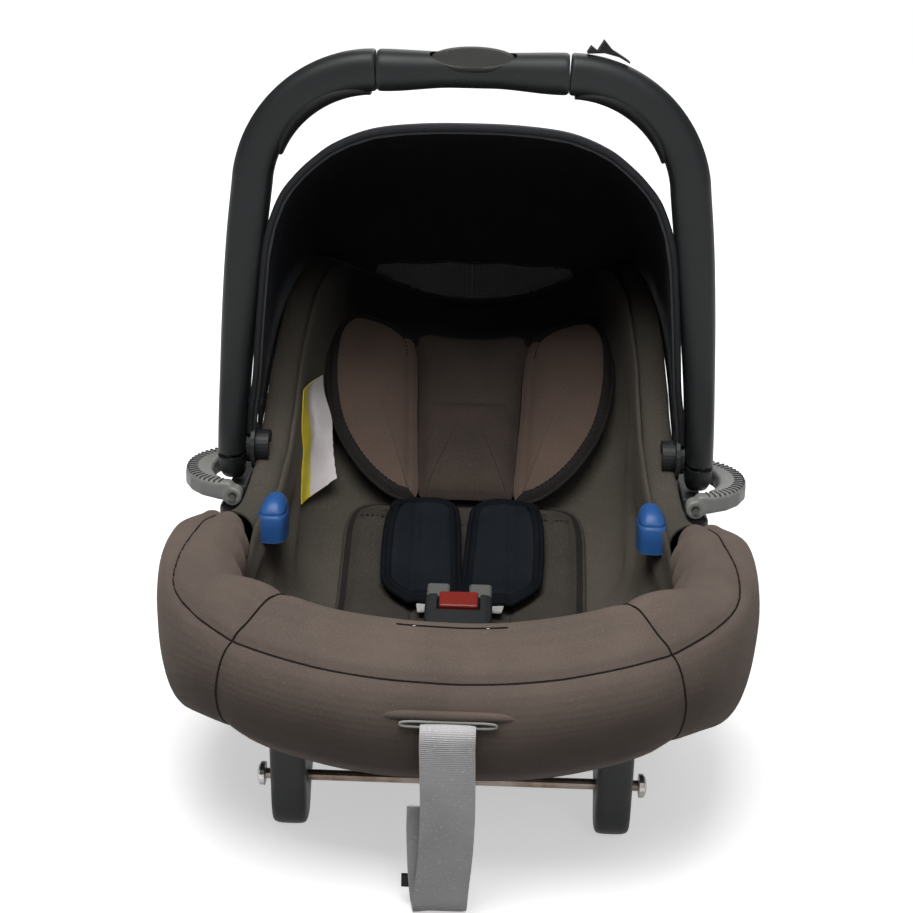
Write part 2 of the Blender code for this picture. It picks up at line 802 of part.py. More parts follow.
def handle_grip(finish, home, cutters):
    rings = []
    unit = superellipse(14, 0.8)
    for x in (-GRIP_SEAM_X, -GRIP_SEAM_X + 2, -55, -30, 0, 30, 55, GRIP_SEAM_X - 2, GRIP_SEAM_X):
        swell = smoothstep(abs(x), 15, 70)
        trim = 1.0 if abs(abs(x) - GRIP_SEAM_X) < 0.5 else 0.0
        tall, deep = 13.5 + 2.5 * swell - trim, 16 + 1.5 * swell - trim
        rings.append([place(x, deep * s, ARCH_TOP_Z + 1.2 * (1 - swell) + tall * c) for c, s in unit])
    grip = loft("handle_grip", rings, finish, home)
    pocket = badge_disc("badge_pocket", 33.4, 14.4, -0.4, 30, finish, cutters)
    return hang(cut(grip, as_cutter(pocket, cutters)), 0, 0, HINGE_Z)


def badge_disc(name, half_length, half_width, low, high, finish, home):
    """An oval disc leaning forwards on top of the grip, between two heights above its seat."""
    lean = math.radians(32)
    seat = (0, -7.0 * math.sin(lean), ARCH_TOP_Z + 11.5 * math.cos(lean) - 2.2)
    rings = []
    levels = [(low, 1.0), (high, 1.0)]
    if high <= 10:
        levels = [(low, 1.0), (high - 1.6, 1.0), (high - 0.5, 0.93), (high, 0.8)]
    for level, share in levels:
        ring = []
        for a in np.linspace(0, 2 * math.pi, 28, endpoint=False):
            u, v = half_length * share * math.cos(a), half_width * share * math.sin(a)
            ring.append(
                place(
                    u,
                    seat[1] + v * math.cos(lean) - level * math.sin(lean),
                    seat[2] + v * math.sin(lean) + level * math.cos(lean),
                )
            )
        rings.append(ring)
    return loft(name, rings, finish, home)


def grip_inlay(side, finish, home):
    """The soft sleeve over the inner half of the handle's corner."""
    path = arch_path(side)[1:10]
    rings = []
    for i, (x, z) in enumerate(path):
        ahead, behind = path[min(i + 1, len(path) - 1)], path[max(i - 1, 0)]
        tx, tz = ahead[0] - behind[0], ahead[1] - behind[1]
        size = math.hypot(tx, tz)
        nx, nz = tz / size * side, -tx / size * side
        thick = 11.8 + 4.2 * smoothstep(z, HINGE_Z, 430)
        share = i / (len(path) - 1)
        wrap = 62 * math.sin(math.pi * min(0.97, max(0.03, share))) ** 0.35
        ring = []
        angles = np.linspace(-wrap, wrap, 7)
        for radius, angles in ((GAP + 0.5, angles), (INLAY_THICKNESS, angles[::-1])):
            for a in np.radians(angles):
                c, s = math.cos(a), math.sin(a)
                c, s = math.copysign(abs(c) ** 0.68, c), math.copysign(abs(s) ** 0.68, s)
                ring.append(place(x + nx * (thick + radius) * c, (17 + radius) * s, z + nz * (thick + radius) * c))
        rings.append(ring)
    inlay = loft("grip_inlay_right" if side > 0 else "grip_inlay_left", rings, finish, home)
    return hang(inlay, 0, 0, HINGE_Z)


def handle_release(finish, home):
    """The ribbed thumb slide on top of the right-hand corner of the handle."""
    teeth = [(88, 551.6), (91, 556.5), (96, 552.8), (101, 561), (107.5, 553.6), (112, 551), (121, 545.5), (121, 544.0)]
    base = [(112, 548.9), (101, 551.6), (88, 551.0)]
    outline = [(x, z + 1.4) for x, z in teeth + base]
    return hang(flat_shape("handle_release", outline, "Y", -8, 8, finish, home), 104, 0, 550)


def pivots(plastic, steel, home):
    """Hubs on the shell and the pins that the handle and the hood bow turn on."""
    pieces = []
    for side, word in ((-1, "left"), (1, "right")):
        hub = hinge_cylinder(f"handle_hub_{word}", side, 166, 184.4, HUB_RADIUS, plastic, home, 28)
        bore = hinge_cylinder(f"hub_bore_{word}", side, 160, 190, PIVOT_PIN_RADIUS + GAP, plastic, home)
        pieces.append((hub, bore))
        pin = hinge_cylinder(f"handle_pin_{word}", side, 174.5, 202, PIVOT_PIN_RADIUS, steel, home)
        pieces.append((pin, None))
    return pieces


# Hood

# The hood bow's half profile: x and radius from the hinge line, from the hub to the middle of the roof.
BOW = [
    (180, 14), (178.6, 32), (174, 62), (171, 97), (167.5, 134), (162, 178), (151, 210), (138, 228), (122, 243),
    (105, 254.5), (77, 265), (40, 269.5), (0, 270.5),
]
BOW_FRONT_Y, BOW_REAR_Y = -10.0, 1.0


def bow_profile(count):
    half = smooth_curve(BOW, count, False, True)
    return np.vstack([half, (half[:-1] * np.array([-1, 1]))[::-1]])


def canopy_bow(finish, home, cutters):
    profile = bow_profile(18)
    rings = []
    for i, (x, r) in enumerate(profile):
        ahead, behind = profile[min(i + 1, len(profile) - 1)], profile[max(i - 1, 0)]
        tx, tr = ahead[0] - behind[0], ahead[1] - behind[1]
        size = math.hypot(tx, tr)
        nx, nr = tr / size, -tx / size
        ring = []
        for depth, y in ((0.0, BOW_FRONT_Y), (-3.0, BOW_FRONT_Y), (-3.0, BOW_REAR_Y), (0.0, BOW_REAR_Y)):
            ring.append(place(x + nx * depth, y, HINGE_Z + r + nr * depth))
        rings.append(ring)
    bow = loft("canopy_bow", rings, finish, home)
    for side in (-1, 1):
        low, high = sorted((side * 176.8, side * 180.0))
        eye = cylinder("bow_eye", (low, 0, HINGE_Z), (high, 0, HINGE_Z), 20, finish, home, segments=20)
        join(bow, as_cutter(eye, cutters))
    for side in (-1, 1):
        bore = hinge_cylinder("eye_bore", side, 165, 190, HUB_RADIUS + GAP, finish, home, 28)
        cut(bow, as_cutter(bore, cutters))
    return hang(bow, 0, 0, HINGE_Z)


HEM_START_Y = 22.0
HEM_DROP = 12.0
HEM_OUT = 8.0
HOOD_COLUMNS, HOOD_ROWS = 14, 7
HOOD_THICKNESS = 1.6
VENT_HALF_WIDTH = 100.0
VENT_TOP_Z = 325.0
VENT_BOTTOM_GAP = 5.0  # from the shell's rim up to the vent


def hood_hem(share):
    """A point of the hood's hem, outside the shell's rim: share runs from beside the hub to the middle of the head end."""
    half = smooth_curve(RIM, 120, True, True)
    part = half[half[:, 1] > HEM_START_Y]
    run = share * (len(part) - 1)
    i = min(int(run), len(part) - 2)
    x, y, z = part[i] + (part[i + 1] - part[i]) * (run - i)
    tx, ty = (part[i + 1] - part[i])[:2]
    size = math.hypot(tx, ty)
    return x + ty / size * HEM_OUT, y - tx / size * HEM_OUT, z - HEM_DROP


def hood_point(share, f):
    """A point of the hood on its +X half: share as for the hem, f from the bow to the hem. Millimetres."""
    x, r = bow_point(share)
    hx, hy, hz = hood_hem(share)
    start = math.atan2(r, BOW_REAR_Y + 1.5)
    end = math.atan2(hz - HINGE_Z, hy)
    angle = start + (end - start) * f
    blend = smoothstep(f, 0.0, 1.0)
    radius = r + (math.hypot(hy, hz - HINGE_Z) - r) * blend
    return x - 1.5 + (hx - x + 1.5) * blend, radius * math.cos(angle), HINGE_Z + radius * math.sin(angle)


def bow_point(share):
    """A point of the bow's profile: x and radius, from just above the hub to the middle of the roof."""
    curve = smooth_curve(BOW[1:], 60, False, True)
    run = share * (len(curve) - 1)
    i = min(int(run), len(curve) - 2)
    return curve[i] + (curve[i + 1] - curve[i]) * (run - i)


def hood_grid(shares, steps):
    rows = []
    for f in steps:
        half = [hood_point(share, f) for share in shares]
        rows.append([place(*point) for point in half + [(-x, y, z) for x, y, z in half[-2::-1]]])
    return rows


def canopy_fabric(finish, home):
    """The hood: one sheet from the bow back to a hem that laps outside the shell's rim."""
    rows = hood_grid(np.linspace(0, 1, HOOD_COLUMNS + 1), np.linspace(0, 1, HOOD_ROWS + 1))
    verts, faces = skin(rows, False)
    return solidify(mesh_object("canopy_fabric", verts, faces, finish, home), HOOD_THICKNESS, 0.0)


def vent_outline(grow):
    """The vent seen from the front: a flat top with round corners over a bottom that follows the rim."""
    half = smooth_curve(RIM, 120, True, True)
    wide = VENT_HALF_WIDTH + grow
    bottom = []
    for x in np.linspace(0, wide, 8):
        rim_z = np.interp(x, half[::-1, 0][: len(half) // 3], half[::-1, 2][: len(half) // 3])
        bottom.append((x, min(rim_z + VENT_BOTTOM_GAP - grow, VENT_TOP_Z - 3 + grow)))
    right = bottom + [(wide - 6, VENT_TOP_Z + grow), (wide * 0.5, VENT_TOP_Z + 1.5 + grow)]
    return right + [(0, VENT_TOP_Z + 2 + grow)] + [(-x, z) for x, z in right[:0:-1]]


def vent(fabric, finish, home, cutters):
    """The mesh window in the hood's back: the piece of the hood's own surface that its opening takes out."""
    opening = flat_shape("vent_opening", vent_outline(0.0), "Y", 150, 320, finish, cutters)
    window = fabric.copy()
    window.data = fabric.data.copy()
    window.name = "vent_window"
    window.data.materials.clear()
    window.data.materials.append(finish)
    home.objects.link(window)
    frame = flat_shape("vent_frame", vent_outline(-GAP), "Y", 150, 320, finish, cutters)
    keep = window.modifiers.new("keep", "BOOLEAN")
    keep.operation = "INTERSECT"
    keep.solver = "EXACT"
    keep.object = as_cutter(frame, cutters)
    cut(fabric, as_cutter(opening, cutters))
    return window


# Belt guides


def belt_guide(side, finish, home):
    """A hook inside the rim that the car's lap belt lies under, open towards the foot end."""
    outline = [(-42, 165.5), (-42, 182)] + arc(-58, 183, 16, 10, 160, 7) + [(-77, 185), (-79, 180), (-75, 177.5)]
    outline += arc(-60, 179, 8.5, 150, 10, 5) + [(-52, 171.5), (-74, 170.5), (-74, 165.5)]
    low, high = sorted((side * 148, side * 170))
    name = "belt_guide_right" if side > 0 else "belt_guide_left"
    return bevel(flat_shape(name, outline, "X", low, high, finish, home), 2.2, 1, 30)


def rear_belt_guide(finish, home, envelope):
    """The hook on the shell's back for the car's diagonal belt, open at one side."""
    shape = [(-36, -14), (36, -14), (36, 30), (-26, 30), (-34, 26), (-31, 20), (25, 20), (25, 10), (-36, 10)]
    rings = []
    for along in (-16, 16):
        ring = []
        for x, out in shape:
            y = 150 + along * math.cos(BACK_ANGLE) + out * math.sin(BACK_ANGLE)
            z = 160 + along * math.sin(BACK_ANGLE) - out * math.cos(BACK_ANGLE)
            ring.append(place(x, y, z))
        rings.append(ring)
    hook = bevel(loft("rear_belt_guide", rings, finish, home, smooth=False), 2, 1, 30)
    return cut(hook, envelope)


# Pushchair adapter housings and their release levers


def span(side, near, far):
    """The lower and upper x of a stretch on one side of the seat."""
    return sorted((side * near, side * far))


def adapter_housing(side, finish, home, cutters, envelope):
    """The block beside the seat that a pushchair's post enters from below, with the ridge that carries the lever pin."""
    name = "adapter_housing_right" if side > 0 else "adapter_housing_left"
    low, high = span(side, 150, 207)
    made = bevel(box(name, (low, -26, 104), (high, 60, 178.4), finish, home), 4, 1)
    low, high = span(side, 184, 200)
    ridge = box("pin_ridge", (low, LEVER_MID_Y - 36.5, 172), (high, LEVER_MID_Y + 36.5, 192), finish, cutters)
    join(made, as_cutter(ridge, cutters))
    cut(made, envelope)
    low, high = span(side, 186, 201)
    socket = box("adapter_socket", (low, -8, 80), (high, 42, 160), finish, cutters)
    cut(made, as_cutter(socket, cutters))
    cut(made, as_cutter(pin_bore(side, finish, cutters), cutters))
    low, high = span(side, 180, 220)
    tunnel = box("latch_tunnel", (low, 9, 120), (high, 25, 130), finish, cutters)
    return cut(made, as_cutter(tunnel, cutters))


def pin_bore(side, finish, home):
    start, end = (side * LEVER_PIN_X, -60, LEVER_PIN_Z), (side * LEVER_PIN_X, 90, LEVER_PIN_Z)
    return cylinder("pin_bore", start, end, LEVER_PIN_RADIUS + GAP, finish, home, segments=12)


def release_lever(side, finish, home, cutters):
    """A D-shaped paddle round the foot of the handle, hinged on a long pin."""
    outer = arc(LEVER_PIN_X, LEVER_MID_Y, 48, -90, 90, 11, 1.04)
    inner = arc(LEVER_PIN_X, LEVER_MID_Y, 24, 90, -90, 9, 1.5)
    outline = outer + inner
    name = "release_lever_right" if side > 0 else "release_lever_left"
    outline = [(side * x, y) for x, y in outline]
    paddle = flat_shape(name, outline, "Z", LEVER_PIN_Z - 4, LEVER_PIN_Z + 12, finish, home)
    bevel(paddle, 2.5, 1, 30)
    for y_low, y_high in ((LEVER_MID_Y - 50, LEVER_MID_Y - 37), (LEVER_MID_Y + 37, LEVER_MID_Y + 50)):
        start, end = (side * LEVER_PIN_X, y_low, LEVER_PIN_Z), (side * LEVER_PIN_X, y_high, LEVER_PIN_Z)
        join(paddle, as_cutter(cylinder("lever_eye", start, end, 8, finish, cutters, segments=16), cutters))
    low, high = span(side, 175, 206)
    room = box("lever_room", (low, LEVER_MID_Y - 37, 170), (high, LEVER_MID_Y + 37, 210), finish, cutters)
    cut(paddle, as_cutter(room, cutters))
    cut(paddle, as_cutter(pin_bore(side, finish, cutters), cutters))
    return hang(paddle, side * LEVER_PIN_X, LEVER_MID_Y, LEVER_PIN_Z)


def lever_pin(side, steel, home):
    word = "right" if side > 0 else "left"
    start = (side * LEVER_PIN_X, LEVER_MID_Y - 52, LEVER_PIN_Z)
    end = (side * LEVER_PIN_X, LEVER_MID_Y + 52, LEVER_PIN_Z)
    return cylinder(f"lever_pin_{word}", start, end, LEVER_PIN_RADIUS, steel, home, segments=12)


def latch_bolt(side, finish, home):
    """The red bolt that holds the pushchair adapter and shows through the housing."""
    word = "right" if side > 0 else "left"
    low, high = span(side, 198, 209)
    bolt = bevel(box(f"latch_bolt_{word}", (low, 9.6, 120.6), (high, 24.4, 129.4), finish, home), 1, 1)
    return hang(bolt, side * 200, 17, 125)


LABEL_Y, LABEL_Z, LABEL_SLOPE = (30.0, 76.0), (172.0, 248.0), 0.62  # the tab leans back with the backrest


def side_label(surface_tree, finish, home):
    """A blank sewn-on tab on the lining's left inner wall."""
    lower, upper = [], []
    for z in np.linspace(*LABEL_Z, 5):
        low_row, high_row = [], []
        for y in np.linspace(*LABEL_Y, 3):
            start = place(0, y + (z - LABEL_Z[0]) * LABEL_SLOPE, z)
            hit, normal = surface_tree.ray_cast(start, Vector((-1, 0, 0)))[:2]
            off = normal if normal.x > 0 else -normal
            low_row.append(hit + off * 0.8 * MM)
            high_row.append(hit + off * 2.0 * MM)
        lower.append(low_row)
        upper.append(high_row)
    return slab("side_label", lower, upper, finish, home)


def build():
    clear_scene()
    seat, cutters = collection("infant_car_seat"), collection("cutters")
    black = material("black_plastic", (0.03, 0.032, 0.034), 0.45)
    handle_black = material("handle_plastic", (0.045, 0.05, 0.052), 0.5)
    rubber = material("soft_grip", (0.015, 0.016, 0.016), 0.35)
    brown = material("brown_fabric", (0.10, 0.075, 0.058), 0.9)
    dark = material("dark_brown_fabric", (0.05, 0.04, 0.032), 0.9)
    navy = material("black_hood_fabric", (0.004, 0.005, 0.008), 0.85)
    pad = material("black_pad", (0.008, 0.011, 0.016), 0.85)
    webbing = material("grey_webbing", (0.42, 0.42, 0.44), 0.75)
    grey = material("grey_plastic", (0.33, 0.33, 0.31), 0.5)
    blue = material("blue_plastic", (0.05, 0.16, 0.42), 0.4)
    red = material("red_plastic", (0.45, 0.05, 0.03), 0.45)
    steel = material("steel", (0.35, 0.35, 0.34), 0.35, 1.0)
    foam = material("foam", (0.7, 0.7, 0.68), 0.9)
    yellow = material("label_fabric", (0.8, 0.68, 0.08), 0.7)
    mesh = material("vent_mesh", (0.03, 0.032, 0.034), 0.8)

    seat_shell(black, seat, cutters)
    envelope = shell_envelope(cutters, black)
    foam_liner(foam, seat)
    lined = lining(dark, seat)
    front_cover(brown, seat, cutters)

    surface = SeatSurface()
    surface.add(lined)
    side_label(surface.tree, yellow, seat)
    insert = newborn_insert(surface, dark, seat)
    surface.add(insert)
    for side in (-1, 1):
        shoulder_strap(side, surface, webbing, seat)
        shoulder_pad(side, surface, pad, seat)
    buckle(surface, black, red, webbing, seat, cutters)
    headrest_board(black, seat)
    headrest_center(brown, seat)
    for side in (-1, 1):
        headrest_wing(side, brown, seat)
    adjuster(grey, black, webbing, rubber, seat, cutters)

    for side in (-1, 1):
        rail(side, black, seat, cutters, envelope)
        handle_arm(side, handle_black, seat, cutters)
        grip_inlay(side, rubber, seat)
        belt_guide(side, blue, seat)
        adapter_housing(side, black, seat, cutters, envelope)
        release_lever(side, grey, seat, cutters)
        lever_pin(side, steel, seat)
        latch_bolt(side, red, seat)
    latch_bars(steel, seat)
    handle_grip(handle_black, seat, cutters)
    badge_disc("grip_badge", 33.0, 14.0, 0.0, 4.2, rubber, seat)
    handle_release(rubber, seat)
    for hub, bore in pivots(black, steel, seat):
        if bore is not None:
            cut(hub, envelope)
            cut(hub, as_cutter(bore, cutters))
    canopy_bow(black, seat, cutters)
    vent(canopy_fabric(navy, seat), mesh, seat, cutters)
    rear_belt_guide(blue, seat, envelope)


build()
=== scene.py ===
import math

import bmesh
import bpy
import numpy as np
from mathutils import Matrix, Vector, noise
from mathutils.bvhtree import BVHTree


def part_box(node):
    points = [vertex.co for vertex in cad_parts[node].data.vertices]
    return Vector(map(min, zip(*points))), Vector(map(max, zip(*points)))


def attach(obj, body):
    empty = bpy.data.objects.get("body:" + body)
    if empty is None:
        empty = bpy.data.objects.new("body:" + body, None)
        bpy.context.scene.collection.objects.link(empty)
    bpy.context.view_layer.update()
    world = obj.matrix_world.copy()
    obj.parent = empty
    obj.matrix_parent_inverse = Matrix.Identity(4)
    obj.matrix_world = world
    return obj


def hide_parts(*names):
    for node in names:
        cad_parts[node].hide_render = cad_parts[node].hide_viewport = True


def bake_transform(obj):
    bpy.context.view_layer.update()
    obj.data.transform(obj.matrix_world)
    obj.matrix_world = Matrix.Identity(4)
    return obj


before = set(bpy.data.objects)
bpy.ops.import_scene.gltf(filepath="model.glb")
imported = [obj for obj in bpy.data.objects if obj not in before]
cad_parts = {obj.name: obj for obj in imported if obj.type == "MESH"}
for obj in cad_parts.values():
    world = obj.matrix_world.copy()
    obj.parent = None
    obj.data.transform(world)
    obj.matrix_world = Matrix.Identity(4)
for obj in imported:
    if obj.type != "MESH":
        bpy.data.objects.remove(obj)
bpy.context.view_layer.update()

# Lengths are millimetres, measured from the hinge line of the carry handle (Z from the floor), as in the
# CAD part. place() turns them into the frame's metres.

MM = 0.001
PIN_LOW, PIN_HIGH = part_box("handle_pin_left")
HINGE_Y = (PIN_LOW.y + PIN_HIGH.y) / 2
HINGE_Z = 222.0
SIDES = ((-1, "left"), (1, "right"))

# The shell's rim from the middle of the foot end round one side to the middle of the head end, and the
# underside's middle line, as in the CAD part.
RIM = [
    (0, -300, 163), (70, -299, 168), (133, -284, 179), (175, -241, 187), (194, -184, 189), (198, -130, 189),
    (192, -86, 186), (180, -50, 187), (174, 0, 214), (172, 50, 249), (170, 100, 285), (164, 150, 318),
    (152, 196, 334), (136, 232, 328), (94, 255, 307), (48, 265, 288), (0, 268, 281),
]
SPINE = [
    (-320, 104), (-260, 92), (-180, 72), (-100, 56), (-40, 50), (0, 58), (40, 80), (120, 140), (200, 200),
    (280, 262),
]
BIGHT_Y = -30.0
BACK_START_Y = BIGHT_Y + 4
BACK_ANGLE = math.radians(36)
PAN_ANGLE = math.radians(14)
TUB_ROUNDING = 0.46
SHELL_WALL, LINING_WALL = 5.0, 2.6
LINING_INSET, LINING_LIFT = 21.5, 34.5  # from the rim, and above the shell's underside
SEAT_Z, HEADREST_Z = 84.0, 88.0  # where the back's plane starts for the insert and for the headrest
SHOULDER_STRAP_WIDTH, CROTCH_STRAP_WIDTH, ADJUSTER_STRAP_WIDTH = 27, 34, 37


def place(x, y, z):
    """Millimetres from the hinge line to the frame in metres."""
    return Vector((x * MM, HINGE_Y + y * MM, z * MM))


def smoothstep(value, low, high):
    t = min(1.0, max(0.0, (value - low) / (high - low)))
    return t * t * (3 - 2 * t)


def bell(distance, width):
    return math.exp(-((distance / width) ** 2))


def signed_power(value, power):
    return math.copysign(abs(value) ** power, value)


def catmull_rom(a, b, c, d, t):
    """The curve from b to c, a share t of the way."""
    square = 2 * a - 5 * b + 4 * c - d
    cube = 3 * b - a - 3 * c + d
    return 0.5 * (2 * b + (c - a) * t + square * t**2 + cube * t**3)


def smooth_curve(points, count, level_start=False, level_end=False):
    """count + 1 points of a Catmull-Rom curve. A level end meets its mirror image in X smoothly."""
    knots = np.array(points, float)
    mirror = np.ones(knots.shape[1])
    mirror[0] = -1
    before = knots[1] * mirror if level_start else 2 * knots[0] - knots[1]
    after = knots[-2] * mirror if level_end else 2 * knots[-1] - knots[-2]
    padded = np.vstack([before, knots, after])
    made = []
    for run in np.linspace(0, len(knots) - 1, count + 1):
        i = min(int(run), len(knots) - 2)
        made.append(catmull_rom(*padded[i : i + 4], run - i))
    return np.array(made)


def closed_curve(points, per_span):
    """A closed Catmull-Rom curve through the points, as a list of tuples."""
    knots = np.array(points, float)
    made = []
    for i in range(len(knots)):
        around = [knots[(i + k) % len(knots)] for k in (-1, 0, 1, 2)]
        for t in np.linspace(0, 1, per_span, endpoint=False):
            made.append(tuple(catmull_rom(*around, t)))
    return made


def wobble(point, size, seed=0.0):
    """Smooth noise from -1 to 1 at a point in metres. size is the lumps' size in millimetres."""
    return noise.noise(point * (1000.0 / size) + Vector((seed, 2.3 * seed, -seed)))


# Stage: camera, lights and floor

CAMERA_TARGET = Vector((-0.0044, HINGE_Y - 0.100, 0.2533))
CAMERA_DISTANCE = 1.2003
CAMERA_AZIMUTH, CAMERA_ELEVATION, CAMERA_ROLL = (math.radians(a) for a in (1.564, 19.908, 1.131))
CAMERA_LENS = 60.617
WORLD_LIGHT = 0.15
FLOOR_HALF, FLOOR_Z = 6.0, -0.0006  # metres, a hair below the seat's feet


def add_camera():
    flat = math.cos(CAMERA_ELEVATION)
    towards = Vector(
        (math.sin(CAMERA_AZIMUTH) * flat, -math.cos(CAMERA_AZIMUTH) * flat, math.sin(CAMERA_ELEVATION))
    )
    right = (-towards).cross(Vector((0, 0, 1))).normalized()
    up = right.cross(-towards)
    turn, lift = math.cos(CAMERA_ROLL), math.sin(CAMERA_ROLL)
    matrix = Matrix((right * turn + up * lift, up * turn - right * lift, towards)).transposed().to_4x4()
    matrix.translation = CAMERA_TARGET + towards * CAMERA_DISTANCE
    data = bpy.data.cameras.new("camera")
    data.lens = CAMERA_LENS
    data.sensor_width = 36.0
    camera = bpy.data.objects.new("camera", data)
    camera.matrix_world = matrix
    bpy.context.scene.collection.objects.link(camera)
    bpy.context.scene.camera = camera


def add_light(name, position, target, size, power, colour=(1.0, 1.0, 1.0)):
    data = bpy.data.lights.new(name, "AREA")
    data.size = size
    data.energy = power
    data.color = colour
    light = bpy.data.objects.new(name, data)
    light.location = position
    light.rotation_euler = (Vector(target) - Vector(position)).to_track_quat("-Z", "Y").to_euler()
    bpy.context.scene.collection.objects.link(light)


def studio_world():
    """A world that the camera sees as white and that lights the seat only dimly."""
    world = bpy.data.worlds.new("studio")
    world.use_nodes = True
    tree = world.node_tree
    dim = tree.nodes["Background"]
    dim.inputs["Color"].default_value = (0.96, 0.98, 1.0, 1.0)
    dim.inputs["Strength"].default_value = WORLD_LIGHT
    white = tree.nodes.new("ShaderNodeBackground")
    white.inputs["Color"].default_value = (1.0, 1.0, 1.0, 1.0)
    rays = tree.nodes.new("ShaderNodeLightPath")
    either = tree.nodes.new("ShaderNodeMixShader")
    tree.links.new(rays.outputs["Is Camera Ray"], either.inputs[0])
    tree.links.new(dim.outputs[0], either.inputs[1])
    tree.links.new(white.outputs[0], either.inputs[2])
    tree.links.new(either.outputs[0], tree.nodes["World Output"].inputs["Surface"])
    return world


def add_stage():
    """A white floor, a softbox overhead and a little in front, and weaker lights in front and behind."""
    scene = bpy.context.scene
    scene.world = studio_world()
    scene.view_settings.view_transform = "Standard"
    add_light("overhead", (-0.12, -0.62, 1.75), (0, -0.1, 0.25), 1.1, 30)
    add_light("front", (0.7, -1.7, 1.5), (0, 0, 0.25), 0.9, 3.5)
    add_light("rear", (0.2, 1.6, 1.3), (0, 0, 0.2), 1.2, 9)
    mesh = bpy.data.meshes.new("floor")
    corners = [(x * FLOOR_HALF, y * FLOOR_HALF, FLOOR_Z) for x, y in ((-1, -1), (1, -1), (1, 1), (-1, 1))]
    mesh.from_pydata(corners, [], [(0, 1, 2, 3)])
    floor = bpy.data.objects.new("floor", mesh)
    floor.visible_diffuse = False
    scene.collection.objects.link(floor)
    finish = Nodes("floor_finish", (0.9, 0.9, 0.89), 0.9)
    finish.tint_by_noise((0.9, 0.9, 0.89), (0.87, 0.87, 0.86), 2.0)
    finish.shader.inputs["Emission Color"].default_value = (1.0, 1.0, 1.0, 1.0)
    distance = finish.add("ShaderNodeVectorMath", {0: finish.solid}, operation="LENGTH").outputs["Value"]
    glow = {"Value": distance, "From Min": 0.5, "From Max": 1.6, "To Min": 0.5, "To Max": 1.1}
    strength = finish.add("ShaderNodeMapRange", glow, clamp=True).outputs["Result"]
    finish.tree.links.new(strength, finish.shader.inputs["Emission Strength"])
    mesh.materials.append(finish.made)


# Materials

CLOTH_COORDINATES = "cloth"  # a point attribute: metres across and along each cloth


